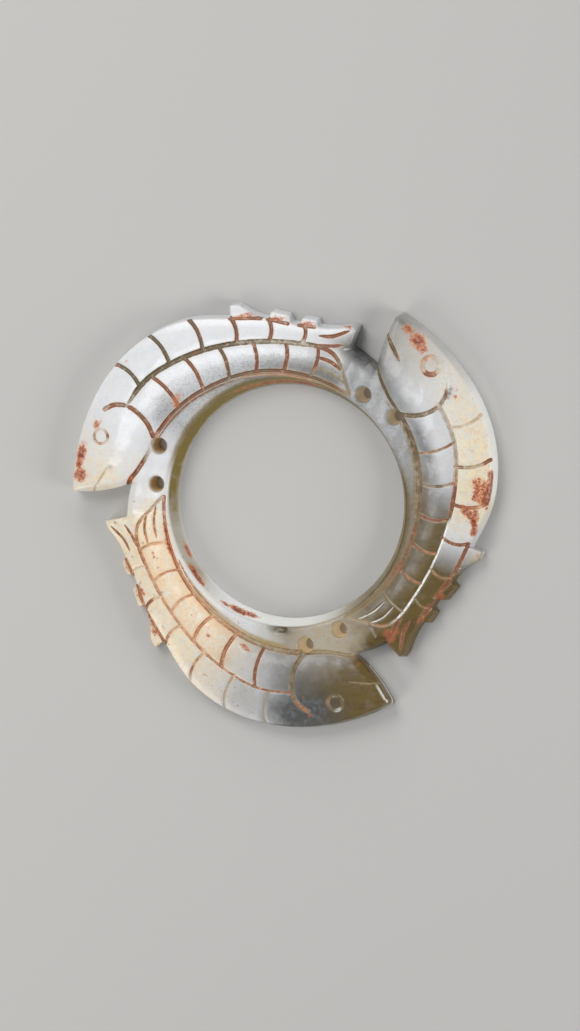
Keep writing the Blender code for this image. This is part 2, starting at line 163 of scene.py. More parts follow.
# The bevel from the worked edge up to the form, and the unevenness that the hand left
BEVEL_SOFTNESS = 0.16 * MM
SLOW_WAVE = 0.035 * MM
SLOW_WAVE_LENGTH = 6.5 * MM
FINE_WAVE = 0.008 * MM
FINE_WAVE_LENGTH = 1.7 * MM
WALL_WAVE = 0.0006
WALL_WAVE_LENGTH = 7 * MM
WAVE_DIRECTIONS = ((12, 1.0), (75, 1.31), (128, 0.77), (161, 1.73))

# Rows of points down a wall, as (depth below its top, share of the carving) and then as shares of its height
HIGH_WALL_ROWS = ((0.35 * MM, 0.8), (0.8 * MM, 0.4), (1.3 * MM, 0.1))
LOW_WALL_ROWS = (0.58, 0.45, 0.32, 0.18)

# How finely the surface is cut up
EDGE_SPACING = 0.26 * MM
SOFTEN_SPACING = 0.10 * MM
LINE_SPACING = 0.26 * MM
FIELD_SPACING = 0.40 * MM
BACK_SPACING = 1.6 * MM
BORE_SIDES = 640
HOLE_SIDES = 44
EDGE_ROWS = (0.07 * MM, 0.17 * MM, 0.30 * MM, 0.46 * MM)
EDGE_ROW_ROOM = 0.10 * MM
LINE_ROWS = (0.0, 0.34, -0.34, 0.66, -0.66, 0.98, -0.98, 1.3, -1.3)


def smooth_value(points, x):
    """The values at x on a smooth curve through points that run up in x."""
    xs, ys = np.array(points, float).T
    ahead = np.minimum(np.arange(len(xs)) + 1, len(xs) - 1)
    behind = np.maximum(np.arange(len(xs)) - 1, 0)
    slopes = (ys[ahead] - ys[behind]) / (xs[ahead] - xs[behind])
    x = np.asarray(x, float)
    i = np.clip(np.searchsorted(xs, x) - 1, 0, len(xs) - 2)
    span = xs[i + 1] - xs[i]
    t = np.clip((x - xs[i]) / span, 0, 1)
    rise = ys[i + 1] - ys[i]
    lead = slopes[i] * span - rise
    trail = rise - slopes[i + 1] * span
    return ys[i] + t * rise + t * (1 - t) * (lead * (1 - t) + trail * t)


def ease(low, high, x):
    """0 up to low, 1 from high on, and a smooth rise between them."""
    t = np.clip((x - low) / (high - low), 0, 1)
    return t * t * (3 - 2 * t)


def radius_of(share):
    return BORE_FRONT_RADIUS + np.asarray(share) * BODY_DEPTH


def share_of(radius):
    return (radius - BORE_FRONT_RADIUS) / BODY_DEPTH


def line_radius(line, angle):
    return radius_of(smooth_value(line, angle))


def around(direction, radius):
    """Points at directions and radii from the bore's axis."""
    turn = np.radians(direction)
    return np.stack((radius * np.cos(turn), radius * np.sin(turn)), axis=-1)


def fish_places(points):
    """The fish that each point lies on, its angle past that fish's nose and its radius."""
    direction = np.degrees(np.arctan2(points[:, 1], points[:, 0]))
    angles = np.stack([(fish["nose"] - direction) % 360 for fish in FISH])
    number = angles.argmin(axis=0)
    return number, angles.min(axis=0), np.hypot(points[:, 0], points[:, 1])


def fin_edge(fin):
    """A fin's edge from foot to foot, as angles and radii."""
    slope = np.linspace(0, 1, 20)
    angles = fin["rear_corner"] + (fin["rear_foot"] - fin["rear_corner"]) * slope
    angles = np.concatenate(([fin["foot"], fin["corner"]], angles))
    over = fin["height"] * np.concatenate(([0, 1], (1 - slope) ** fin["hollow"]))
    return angles, line_radius(BACK_LINE, angles) + over


def back_edge(number):
    """One fish's edge over its back, from the nose to the tail's tip."""
    angles, radii = [np.array([NOSE_CORNER[0]])], [radius_of([NOSE_CORNER[1]])]
    start = BACK_START
    for fin in FINS:
        run = np.linspace(start, fin["foot"], 60)[:-1]
        fin_angles, fin_radii = fin_edge(fin)
        angles += [run, fin_angles]
        radii += [line_radius(BACK_LINE, run), fin_radii]
        start = fin["rear_foot"]
    run = np.linspace(start, TAIL_TIP, 40)[1:]
    angles.append(run)
    radii.append(line_radius(BACK_LINE, run))
    return around(FISH[number]["nose"] - np.concatenate(angles), np.concatenate(radii))


def worked_edge(number):
    """The bevelled edge from one fish's tail down to the ring and up the next fish's jaw."""
    following = FISH[(number + 1) % len(FISH)]
    gap = (FISH[number]["nose"] - following["nose"]) % 360
    run = np.linspace(TAIL_END, gap + JAW_LINE[0][1], 60)
    ring = around(FISH[number]["nose"] - run, line_radius(CORE_LINE, run))
    shares = np.linspace(JAW_LINE[0][0], JAW_LINE[-1][0], 50)[1:]
    jaw = around(following["nose"] - smooth_value(JAW_LINE, shares), radius_of(shares))
    return np.concatenate((ring, jaw))


def even_loop(loop, spacing):
    """A closed line's points at an even spacing."""
    ends = np.vstack((loop, loop[:1]))
    walked = np.concatenate(([0], np.cumsum(np.linalg.norm(np.diff(ends, axis=0), axis=1))))
    marks = np.linspace(0, walked[-1], round(walked[-1] / spacing), endpoint=False)
    return np.stack([np.interp(marks, walked, ends[:, k]) for k in range(2)], axis=1)


def soften_corners(loop):
    for _ in range(CORNER_PASSES):
        loop = (np.roll(loop, 1, axis=0) + 2 * loop + np.roll(loop, -1, axis=0)) / 4
    return loop


def leaned(points):
    """Points of the back's outline, drawn in to where the leaning walls meet the face."""
    return points * (1 - WALL_LEAN / np.linalg.norm(points, axis=1, keepdims=True))


def inset(loop, distance):
    """A loop moved sideways into the stone. Its points run clockwise."""
    ahead = np.roll(loop, -1, axis=0) - np.roll(loop, 1, axis=0)
    side = np.stack((ahead[:, 1], -ahead[:, 0]), axis=1)
    return loop + distance * side / np.linalg.norm(side, axis=1, keepdims=True)


def tree_of(points):
    tree = kdtree.KDTree(len(points))
    for i, point in enumerate(points):
        tree.insert((point[0], point[1], 0), i)
    tree.balance()
    return tree


def distances(points, samples):
    """How far each point lies from the nearest sample."""
    tree = tree_of(samples)
    return np.array([tree.find((x, y, 0))[2] for x, y in points])


def along(line, start, end):
    """A path on a line from one angle to another, as angles and radii."""
    angles = np.linspace(start, end, max(3, round(abs(end - start) * 3)))
    return angles, line_radius(line, angles)


def scale_path(row, index, top_line, bottom_line, overrun=0.0):
    """One scale's bent line, from its top line to its bottom line."""
    down = np.linspace(0, 1, 30)
    top_angle = row["start"] + row["step"] * index
    top = line_radius(top_line, top_angle) + overrun
    bottom = line_radius(bottom_line, top_angle + row["foot"])
    angles = top_angle + row["foot"] * down + 4 * row["bulge"] * down * (1 - down)
    return angles, top + (bottom - top) * down


def eye_path(fish):
    turn = np.linspace(0, 2 * math.pi, 49)
    angle, share = fish["eye"]
    middle = radius_of(share)
    aside = np.degrees(fish["eye_radius"] * np.cos(turn) / middle)
    return angle + aside, middle + fish["eye_radius"] * np.sin(turn)


# How the lines are stained. Rust runs from -1, a painted glint that turns the line pale, over 0, olive brown,
# and 0.5, orange, to 1, iron red. Long lines give (angle, rust, strength), and short ones (way along, rust,
# strength).
# The widths are shares of the usual width.
LINE_STAINS = (
    {"flank": ((28, 0.0, 0.35), (33, 0.05, 0.85), (60, 0.12, 0.9), (78, 0.0, 0.6), (96, 0.0, 0.55),
               (101, 0.5, 0.75), (106, 0.6, 0.9), (109, 0.3, 0.6), (114, 0.0, 0.4)),
     "flank width": ((28, 0.45), (34, 1.0), (96, 1.0), (114, 0.7)),
     "belly": ((4, 0.75, 0.95), (10, 0.6, 0.9), (14, 0.4, 0.6), (18, 0.2, 0.12), (24, 0.5, 0.5),
               (28, 0.8, 1.0), (33, 0.35, 1.0), (45, 0.3, 1.0), (60, 0.25, 1.0), (75, 0.25, 1.0),
               (90, 0.4, 1.0), (104, 0.35, 1.0), (112, 0.3, 0.7), (119, 0.1, 0.4)),
     "belly width": ((4, 0.9), (25, 0.8), (35, 0.7), (112, 0.65)),
     "gill": (0.9, ((0, 0.75, 0.9), (0.3, 0.5, 0.85), (0.6, 0.4, 0.8), (0.85, 0.45, 0.9), (1, 0.2, 0.5))),
     "mouth": ((0, 0.1, 0.4), (1, 0.0, 0.25)),
     "eye": ((0, 0.3, 0.25), (0.2, 0.5, 0.35), (0.32, 0.5, 0.7), (0.42, 0.4, 0.4), (0.52, 0.7, 0.75),
             (0.6, 0.4, 0.3), (0.75, 0.4, 0.3), (0.84, 0.9, 0.9), (0.9, 0.6, 0.5), (1, 0.3, 0.25)),
     "fins": ((0, 0.7, 0.9), (1, 0.55, 0.85)),
     "upper": ((1.0, ((0, 0.5, 0.8), (0.15, 0.1, 0.95), (1, 0.0, 0.95))),
               (1.0, ((0, 0.15, 0.95), (1, 0.05, 0.95))),
               (1.0, ((0, 0.2, 0.9), (0.5, 0.35, 0.9), (1, 0.2, 0.85))),
               (1.0, ((0, 0.4, 0.9), (1, 0.5, 0.9))),
               (1.0, ((0, 0.5, 0.9), (1, 0.6, 0.9))),
               (0.95, ((0, 0.6, 0.9), (0.55, 0.5, 0.85), (0.8, 0.1, 0.5), (1, 0.0, 0.3)))),
     "lower": ((0.95, ((0, 0.3, 0.9), (0.5, 0.7, 0.9), (1, 0.9, 0.95))),
               (0.95, ((0, 0.25, 0.9), (0.6, 0.65, 0.85), (1, 0.6, 0.8))),
               (0.95, ((0, 0.2, 0.85), (1, 0.35, 0.8))),
               (0.9, ((0, 0.7, 0.85), (1, 0.8, 0.85))),
               (1.0, ((0, 0.5, 0.85), (0.5, 0.75, 0.9), (1, 0.6, 0.85))),
               (0.85, ((0, 0.7, 0.9), (0.6, 0.75, 0.8), (0.8, 0.2, 0.3), (1, 0.1, 0.2)))),
     "rays": ((1.1, 0.65, 0.9), (1.0, 0.6, 0.8), (1.1, 0.6, 0.85), (0.7, 0.0, 0.5))},
    # In the second fish, rust below 0 in the flank, the eye, the last lower scale line and two tail rays is a
    # painted glint
    {"flank": ((27, 0.15, 0.3), (40, 0.2, 0.4), (48, 0.3, 0.45), (52, 0.6, 0.7), (57, 0.9, 0.9),
               (61, 0.7, 0.8), (63, -0.6, 0.5), (66, -1.0, 0.95), (102, -1.0, 0.9), (106, -0.5, 0.4),
               (108, 0.6, 0.6), (114, 0.3, 0.3)),
     "flank width": ((27, 0.9), (58, 0.8), (66, 0.36), (104, 0.44), (114, 0.5)),
     "belly": ((4, 0.0, 0.9), (20, 0.05, 0.85), (30, 0.15, 0.7), (60, 0.25, 0.6), (75, 0.35, 0.6),
               (88, 0.45, 0.6), (100, 0.2, 0.4), (112, 0.1, 0.3)),
     "belly width": ((4, 0.6), (20, 0.65), (27, 1.05), (60, 1.0), (112, 0.8)),
     "gill": (((0, 0.95), (0.8, 0.8), (1, 0.3)),
              ((0, 0.1, 0.8), (0.5, 0.15, 0.55), (0.75, 0.3, 0.5), (0.88, 0.3, 0.75), (0.94, 0.3, 0.1),
               (1, 0.3, 0.1))),
     "mouth": ((0, 0.0, 0.85), (0.6, 0.2, 0.8), (1, 0.4, 0.7)),
     "eye": ((0, 0.45, 0.45), (0.06, 0.2, 0.2), (0.13, -0.8, 0.4), (0.22, 0.1, 0.2), (0.4, 0.4, 0.35),
             (0.52, 0.55, 0.55), (0.6, 0.2, 0.25), (0.72, 0.5, 0.35), (0.8, 0.65, 0.9), (0.88, 0.8, 1.0),
             (0.94, 0.7, 0.8), (1, 0.45, 0.45)),
     "fins": ((0, 0.95, 0.95), (0.4, 0.7, 0.9), (1, 0.45, 0.7)),
     "upper": ((0.85, ((0, 0.45, 0.4), (0.4, 0.3, 0.25), (0.8, 0.45, 0.35), (1, 0.3, 0.2))),
               (0.9, ((0, 0.95, 1.0), (0.12, 0.8, 0.9), (0.3, 0.3, 0.4), (0.75, 0.25, 0.45),
                      (0.92, 0.6, 0.9), (1, 0.4, 0.5))),
               (0.9, ((0, 0.9, 0.9), (0.2, 0.6, 0.5), (0.6, 0.7, 0.8), (1, 0.8, 0.9))),
               (0.8, ((0, 0.9, 0.95), (0.5, 0.6, 0.8), (1, 0.8, 0.9))),
               (0.6, ((0, 0.6, 0.6), (0.6, 0.45, 0.5), (1, 0.2, 0.1))),
               (0.5, ((0, 0.5, 0.4), (1, 0.2, 0.1)))),
     "lower": ((0.7, ((0, 0.7, 0.9), (0.3, 0.35, 0.5), (1, 0.3, 0.6))),
               (0.7, ((0, 0.6, 0.8), (0.3, 0.3, 0.4), (0.45, 0.1, 0.9), (0.6, 0.2, 0.5), (1, 0.2, 0.6))),
               (0.65, ((0, 0.8, 0.8), (1, 0.75, 0.85))),
               (0.6, ((0, 0.6, 0.6), (1, 0.7, 0.8))),
               (0.6, ((0, 0.5, 0.6), (1, 0.6, 0.7))),
               (0.5, ((0, -0.4, 0.3), (1, 0.1, 0.5)))),
     "rays": ((0.9, 0.6, 0.75), (1.0, 0.65, 0.8), (0.42, -1.0, 0.65), (0.42, -1.0, 0.6))},
    {"flank": ((27, 0.6, 0.7), (45, 0.65, 0.7), (60, 0.6, 0.55), (75, 0.55, 0.5), (90, 0.55, 0.5),
               (100, 0.65, 0.7), (114, 0.5, 0.45)),
     "flank width": ((27, 0.42), (50, 0.5), (60, 0.62), (75, 0.6), (100, 0.7), (114, 0.6)),
     "belly": ((4, 0.2, 0.5), (14, 0.15, 0.4), (22, 0.35, 0.65), (30, 0.15, 0.5), (45, 0.15, 0.5),
               (52, 0.5, 0.6), (60, 0.3, 0.5), (72, 0.6, 0.6), (88, 0.75, 0.8), (93, 0.95, 1.0),
               (104, 0.9, 0.95), (108, 0.6, 0.6)),
     "belly width": ((4, 0.8), (20, 1.1), (28, 1.2), (60, 1.15), (70, 0.7), (108, 0.7)),
     "gill": (0.85, ((0, 0.0, 0.5), (0.3, 0.06, 0.6), (0.6, 0.12, 0.62), (0.8, 0.4, 0.5), (0.9, 0.8, 0.8),
                     (1, 0.5, 0.2))),
     "mouth": ((0, 0.1, 0.3), (1, 0.2, 0.25)),
     # Rust below 0 in the third fish's eye is a painted glint
     "eye": ((0, 0.35, 0.25), (0.15, 0.1, 0.1), (0.23, -1.0, 0.45), (0.31, -1.0, 0.5), (0.4, 0.0, 0.08),
             (0.7, 0.1, 0.08), (0.85, 0.3, 0.2), (0.93, 0.4, 0.35), (1, 0.35, 0.25)),
     "fins": ((0, 0.7, 0.85), (0.7, 0.6, 0.75), (1, 0.85, 0.9)),
     "upper": ((0.6, ((0, 0.0, 0.35), (0.5, 0.1, 0.35), (1, 0.1, 0.3))),
               (0.6, ((0, 0.05, 0.3), (0.6, 0.2, 0.35), (1, 0.5, 0.5))),
               (0.65, ((0, 0.1, 0.25), (0.3, 0.55, 0.75), (0.55, 0.5, 0.6), (1, 0.3, 0.3))),
               (0.65, ((0, 0.9, 0.95), (0.15, 0.7, 0.7), (0.6, 0.5, 0.4), (1, 0.5, 0.45))),
               (0.8, ((0, 0.95, 0.95), (0.45, 0.9, 0.95), (0.6, 0.5, 0.3), (1, 0.4, 0.2))),
               (0.55, ((0, 0.3, 0.2), (1, 0.3, 0.3)))),
     "lower": ((0.85, ((0, 0.65, 0.85), (0.5, 0.7, 0.85), (1, 0.75, 0.9))),
               (1.0, ((0, 0.6, 0.7), (0.5, 0.75, 0.85), (1, 0.7, 0.75))),
               (0.85, ((0, 0.6, 0.5), (0.5, 0.75, 0.8), (1, 0.65, 0.5))),
               (0.6, ((0, 0.5, 0.45), (0.7, 0.55, 0.55), (0.9, 0.95, 0.95), (1, 0.7, 0.7))),
               (0.55, ((0, 0.55, 0.5), (0.6, 0.7, 0.7), (0.9, 0.95, 1.0), (1, 0.7, 0.7))),
               (0.6, ((0, 0.2, 0.9), (0.15, 0.4, 0.6), (1, 0.5, 0.4)))),
     "rays": ((0.8, 0.5, 0.75), (0.8, 0.5, 0.7), (0.75, 0.6, 0.75), (0.7, 0.5, 0.7))},
)


def even_path(path, spacing):
    """An open line's points at an even spacing."""
    walked = np.concatenate(([0], np.cumsum(np.linalg.norm(np.diff(path, axis=0), axis=1))))
    marks = np.linspace(0, walked[-1], max(3, round(walked[-1] / spacing)))
    return np.stack([np.interp(marks, walked, path[:, k]) for k in range(2)], axis=1), marks / walked[-1]


def stroke(number, path, stains, reach=1.0, taper=0.0, short=True):
    """One cut line: its even points, how wide and how deep it is at each, its rust and its stain."""
    angles, radii = path
    points, way = even_path(around(FISH[number]["nose"] - angles, radii), LINE_SPACING)
    where = way if short else fish_places(points)[1]
    if isinstance(reach, tuple):
        reach = np.interp(where, *np.array(reach).T)
    reach = reach * (1 - taper * np.abs(2 * way - 1) ** 3)
    marks, rust, strength = np.array(stains).T
    rust, strength = np.interp(where, marks, rust), np.interp(where, marks, strength)
    return points, reach, np.minimum(reach, 1), rust, strength


def shifted(path, shift):
    return path[0] + shift, path[1]


def main_lines():
    """The flanks, bellies and gills."""
    strokes = []
    for number, (fish, stains) in enumerate(zip(FISH, LINE_STAINS)):
        start = FLANK_LINE[0][0] + fish["shift"]
        flank = along(FLANK_LINE, start, FLANK_LINE[-1][0])
        strokes.append(stroke(number, flank, stains["flank"], stains["flank width"], short=False))
        belly = along(BELLY_LINE, JAW_LINE[0][1], BELLY_LINE[-1][0])
        strokes.append(stroke(number, belly, stains["belly"], stains["belly width"], short=False))
        shares = np.linspace(GILL_LINE[0][0], GILL_LINE[-1][0], 40)
        gill = (smooth_value(GILL_LINE, shares) + fish["shift"], radius_of(shares))
        reach, marks = stains["gill"]
        strokes.append(stroke(number, gill, marks, reach))
    return strokes


def scale_lines():
    """The two rows of scales and the mouths."""
    strokes = []
    for number, (fish, stains) in enumerate(zip(FISH, LINE_STAINS)):
        for i, (reach, marks) in enumerate(stains["upper"]):
            path = scale_path(UPPER_SCALES, i, BACK_LINE, FLANK_LINE, -EDGE_INSET)
            strokes.append(stroke(number, shifted(path, fish["shift"]), marks, reach))
        for i, (reach, marks) in enumerate(stains["lower"]):
            path = scale_path(LOWER_SCALES, i, FLANK_LINE, BELLY_LINE)
            strokes.append(stroke(number, shifted(path, fish["shift"]), marks, reach))
        mouth = along(MOUTH, MOUTH[0][0], MOUTH[-1][0])
        strokes.append(stroke(number, mouth, stains["mouth"], fish["mouth"], 0.6))
    return strokes


def fine_lines():
    """The rays of the tails and the lines at the feet of the fins."""
    strokes = []
    for number, stains in enumerate(LINE_STAINS):
        for ray, (reach, rust, strength) in zip(TAIL_RAYS, stains["rays"]):
            path = along(ray, ray[0][0], ray[-1][0])
            strokes.append(stroke(number, path, ((0, rust, strength), (1, rust, strength)), reach, 0.65))
        for fin in FINS:
            angles, radii = along(BACK_LINE, fin["foot"], fin["base_end"])
            strokes.append(stroke(number, (angles, radii - FIN_LINE_INSET), stains["fins"]))
    return strokes


def eye_lines():
    """The rings of the eyes, shallow and flat."""
    return [stroke(number, eye_path(fish), stains["eye"], fish["eye_width"] / RAY_WIDTH)
            for number, (fish, stains) in enumerate(zip(FISH, LINE_STAINS))]


def guide_lines():
    """Thin lines scratched beside the bellies."""
    strokes = []
    for number, start, end, aside, rust, strength in GUIDES:
        angles, radii = along(BELLY_LINE, start, end)
        marks = ((0, rust, strength), (1, rust, strength))
        strokes.append(stroke(number, (angles, radii - aside), marks, 1.0, 0.5))
    return strokes


def line_kinds():
    """Each kind of line: its name, its strokes, their width and depth, and the room between mesh points."""
    return (
        ("main lines", main_lines(), FLANK_LINE_WIDTH, 0.45 * MM, 0.11 * MM),
        ("scale lines", scale_lines(), SCALE_LINE_WIDTH, 0.34 * MM, 0.11 * MM),
        ("fine lines", fine_lines(), RAY_WIDTH, 0.32 * MM, 0.10 * MM),
        ("eyes", eye_lines(), RAY_WIDTH, 0.22 * MM, 0.10 * MM),
        ("guide lines", guide_lines(), GUIDE_WIDTH, 0.10 * MM, 0.12 * MM),
    )


def line_rows(strokes, width):
    """Points beside a line's middle, so that the mesh follows its walls and its floor."""
    rows = []
    for points, reach, *rest in strokes:
        ahead = np.gradient(points, axis=0)
        side = np.stack((ahead[:, 1], -ahead[:, 0]), axis=1) / np.linalg.norm(ahead, axis=1, keepdims=True)
        for row in LINE_ROWS:
            rows.append(points + side * row * reach[:, None] * width / 2)
    return np.concatenate(rows)


def spread(groups):
    """The points of each group in turn, leaving out those that crowd a point kept before them."""
    kept, cells = [], {}
    cell = max(room for points, room in groups)
    for points, room in groups:
        for x, y in points.tolist():
            home = (math.floor(x / cell), math.floor(y / cell))
            around_home = [(home[0] + i, home[1] + j) for i in (-1, 0, 1) for j in (-1, 0, 1)]
            near = (q for place in around_home for q in cells.get(place, ()))
            if all((q[0] - x) ** 2 + (q[1] - y) ** 2 > room * room for q in near):
                cells.setdefault(home, []).append((x, y))
                kept.append((x, y))
    return np.array(kept)


def ring_field(spacing):
    """A field of points in even triangles that covers the ring and its fins."""
    rows = np.arange(-OUTER_RADIUS, OUTER_RADIUS, spacing * math.sqrt(3) / 2)
    across = np.arange(-OUTER_RADIUS, OUTER_RADIUS, spacing)
    x, y = np.meshgrid(across, rows)
    x[1::2] += spacing / 2
    points = np.stack((x.ravel(), y.ravel()), axis=1)
    number, angle, radius = fish_places(points)
    reach = line_radius(BACK_LINE, np.where(angle > TAIL_END, 0, angle)) + FINS[0]["height"]
    return points[(radius > BORE_RADIUS) & (radius < reach)]


def circle(centre, radius, sides):
    return centre + around(np.arange(sides) * 360 / sides, radius)


def hole_centres():
    """Two holes below each head."""
    return [around(fish["nose"] - angle, BORE_FRONT_RADIUS + wall + HOLE_MOUTH_RADIUS)
            for fish in FISH for angle, wall in HOLE_PLACES]


def openings(bore_radius, hole_radius):
    """The circles of the bore and of the holes."""
    holes = [circle(centre, hole_radius, HOLE_SIDES) for centre in hole_centres()]
    return [circle(0, bore_radius, BORE_SIDES)] + holes


def filled(loops, inner, bore_radius, hole_radius):
    """Triangles between an outline, the bore's circle and the holes' circles, with points between them."""
    points = np.concatenate(loops + [inner])
    edges, start = [], 0
    for loop in loops:
        edges += [(start + i, start + (i + 1) % len(loop)) for i in range(len(loop))]
        start += len(loop)
    found = delaunay_2d_cdt([Vector(p) for p in (points / MM).tolist()], edges, [], 1, 1e-6)
    source = np.array([where[0] for where in found[3]])
    faces = source[np.array(found[2])]
    middles = points[faces].mean(axis=1)
    open_stone = np.linalg.norm(middles, axis=1) > bore_radius * math.cos(math.pi / BORE_SIDES)
    for centre in hole_centres():
        open_stone &= np.linalg.norm(middles - centre, axis=1) > hole_radius * math.cos(math.pi / HOLE_SIDES)
    faces = faces[open_stone]
    a, b, c = (points[faces[:, k]] for k in range(3))
    clockwise = (b[:, 0] - a[:, 0]) * (c[:, 1] - a[:, 1]) < (b[:, 1] - a[:, 1]) * (c[:, 0] - a[:, 0])
    faces[clockwise] = faces[clockwise][:, ::-1]
    used, numbers = np.unique(faces, return_inverse=True)
    return points[used], numbers.reshape(faces.shape)


def ripple(points, length, phase=0.0):
    """A smooth unevenness from -1 to 1, for a surface worked by hand."""
    total = np.zeros(len(points))
    for turn, stretch in WAVE_DIRECTIONS:
        direction = np.array((math.cos(math.radians(turn)), math.sin(math.radians(turn))))
        total += np.sin(2 * math.pi * (points @ direction) * stretch / length + phase + turn)
    return total / len(WAVE_DIRECTIONS)


def rounded(distance, radius):
    """How far a surface has dropped at a distance from an edge that is rounded to a radius."""
    inward = np.clip(radius - distance, 0, radius)
    return radius - np.sqrt(radius ** 2 - inward ** 2)


def soft_drop(excess, softness):
    """How far a height above a limit is brought down, with a soft start."""
    return (excess + np.sqrt(excess ** 2 + softness ** 2)) / 2


def form_height(points):
    """Height of the domed form, before its lines are cut."""
    number, angle, radius = fish_places(points)
    gap = ease(TAIL_END, TAIL_END + 3, angle)
    on_fish = np.minimum(angle, TAIL_END)
    belly = line_radius(BELLY_LINE, on_fish) * (1 - gap) + line_radius(BELLY_LINE, 0) * gap
    back = line_radius(BACK_LINE, on_fish) * (1 - gap) + line_radius(BACK_LINE, 0) * gap
    across = (radius - belly) / (back - belly)
    height = RIM_HEIGHT + (CROWN_HEIGHT - RIM_HEIGHT) * smooth_value(DOME, across)
    beyond = np.clip((radius - back) / FINS[0]["height"], 0, 1)
    height = np.where(across > 1, RIM_HEIGHT - FIN_TIP_DROP * beyond, height)
    height = np.where(across < 0, BORDER_THICKNESS, height)
    flank = line_radius(FLANK_LINE, on_fish)
    upper = (radius - flank) / (back - flank)
    lower = (radius - belly) / (flank - belly)
    row = np.clip(np.where(upper > 0, upper, lower), 0, 1)
    scaled = ease(24, 32, angle) * ease(TAIL_END, TAIL_END - 8, angle) * (across > 0) * (across < 1)
    height -= ROW_PILLOW * scaled * np.abs(2 * row - 1) ** 2.5
    shift = np.array([fish["shift"] for fish in FISH])[number]
    rhythm = np.where(upper > 0, (angle - shift - UPPER_SCALES["start"]) / UPPER_SCALES["step"],
                      (angle - shift - LOWER_SCALES["start"]) / LOWER_SCALES["step"])
    height -= SCALE_PILLOW * scaled * np.abs(2 * (rhythm % 1) - 1) ** 3
    return height


def chip_height(points):
    """Height of the chip's floor, and far above the ring outside it."""
    out = around(CHIP_DIRECTION, 1.0)
    wave = np.stack((ripple(points, 2.1 * MM), ripple(points, 2.7 * MM, 1.0)), axis=1)
    apart = points - out * BORE_FRONT_RADIUS + CHIP_EDGE_WAVE * wave
    across = apart @ out / (CHIP_WIDTH / 2)
    along_rim = apart @ np.array((-out[1], out[0])) / (CHIP_LENGTH / 2)
    inside = 1 - across ** 2 - along_rim ** 2
    floor = BORDER_THICKNESS - CHIP_EDGE_DROP - CHIP_DEPTH * np.sqrt(np.clip(inside, 0, 1))
    floor += CHIP_FLOOR_WAVE * ripple(points, 1.3 * MM)
    return np.where(inside > 0, floor, CROWN_HEIGHT)


class Shell:
    """Points and faces gathered for one closed mesh. Each point has a share of the carving's depth."""

    def __init__(self):
        self.points, self.carved, self.faces = [], [], []
        self.count = 0

    def add(self, flat, height, carved=0.0):
        """Adds points at heights over flat places, and gives their numbers."""
        heights = np.broadcast_to(height, len(flat))
        self.points.append(np.column_stack((flat, heights)))
        self.carved.append(np.full(len(flat), carved))
        self.count += len(flat)
        return np.arange(self.count - len(flat), self.count)

    def join(self, rows):
        """Walls between closed rows of points, from the top one down."""
        for upper, lower in zip(rows, rows[1:]):
            following = np.roll(upper, -1), np.roll(lower, -1)
            self.faces += np.column_stack((upper, following[0], following[1], lower)).tolist()

    def mesh(self, name):
        mesh = bpy.data.meshes.new(name)
        mesh.from_pydata(np.concatenate(self.points), [], self.faces)
        set_values(mesh, "carved", np.concatenate(self.carved))
        return mesh


def set_values(mesh, name, values):
    attribute = mesh.attributes.get(name) or mesh.attributes.new(name, "FLOAT", "POINT")
    attribute.data.foreach_set("value", np.asarray(values, np.float32))


def values_of(mesh, name):
    values = np.empty(len(mesh.vertices), np.float32)
    mesh.attributes[name].data.foreach_get("value", values)
    return values


def face_heights(points, rim_loop):
    """Heights of the worked face: the form, its bevels and its rounded edges."""
    height = form_height(points)
    radius = np.linalg.norm(points, axis=1)
    worked = np.concatenate([leaned(worked_edge(number)) for number in range(len(FISH))])
    ceiling = BORDER_THICKNESS + CROWN_RISE * ease(0.40, 0.50, share_of(radius))
    bevelled = ceiling - EDGE_CHAMFER + distances(points, worked)
    height -= soft_drop(height - bevelled, BEVEL_SOFTNESS)
    height -= rounded(distances(points, rim_loop), EDGE_ROUND)
    height -= rounded(radius - BORE_FRONT_RADIUS, BORE_ROUND)
    for centre in hole_centres():
        height -= rounded(np.linalg.norm(points - centre, axis=1) - HOLE_MOUTH_RADIUS, HOLE_ROUND)
    slow = SLOW_WAVE * (ripple(points, SLOW_WAVE_LENGTH) - 1)
    height += slow + FINE_WAVE * ripple(points, FINE_WAVE_LENGTH, 4.0)
    return np.minimum(height, chip_height(points))


def add_wall(shell, top, top_flat, top_height, bottom_flat, foot):
    """The wall from an edge of the face down to the back, rounded where it meets it."""
    rows = [top]
    places = [(top_height - depth, carved) for depth, carved in HIGH_WALL_ROWS]
    places += [(share * top_height, 0.0) for share in LOW_WALL_ROWS]
    places.append((np.full(len(top_flat), BACK_ROUND), 0.0))
    for height, carved in places:
        flat = bottom_flat + (top_flat - bottom_flat) * (height / top_height)[:, None]
        wavy = 1 + WALL_WAVE * ripple(flat, WALL_WAVE_LENGTH, 2.0)[:, None]
        rows.append(shell.add(flat * wavy, np.minimum(height, chip_height(flat)), carved))
    rows.append(shell.add(inset(bottom_flat, 0.3 * BACK_ROUND), 0.3 * BACK_ROUND))
    rows.append(foot)
    shell.join(rows)


def face_points(loops, fine_rim, kinds):
    """Points between the loops of the face: rows inside its edges, rows along its lines, and a field."""
    edge_rows = np.concatenate([inset(loop, row) for row in EDGE_ROWS for loop in loops])
    edge_rows = edge_rows[distances(edge_rows, fine_rim) > 0.85 * EDGE_ROWS[0]]
    groups = [(np.concatenate(loops), 0.0), (edge_rows, EDGE_ROW_ROOM)]
    groups += [(line_rows(strokes, width), room) for name, strokes, width, depth, room in kinds]
    groups.append((ring_field(FIELD_SPACING), 0.62 * FIELD_SPACING))
    return spread(groups)[sum(len(loop) for loop in loops):]


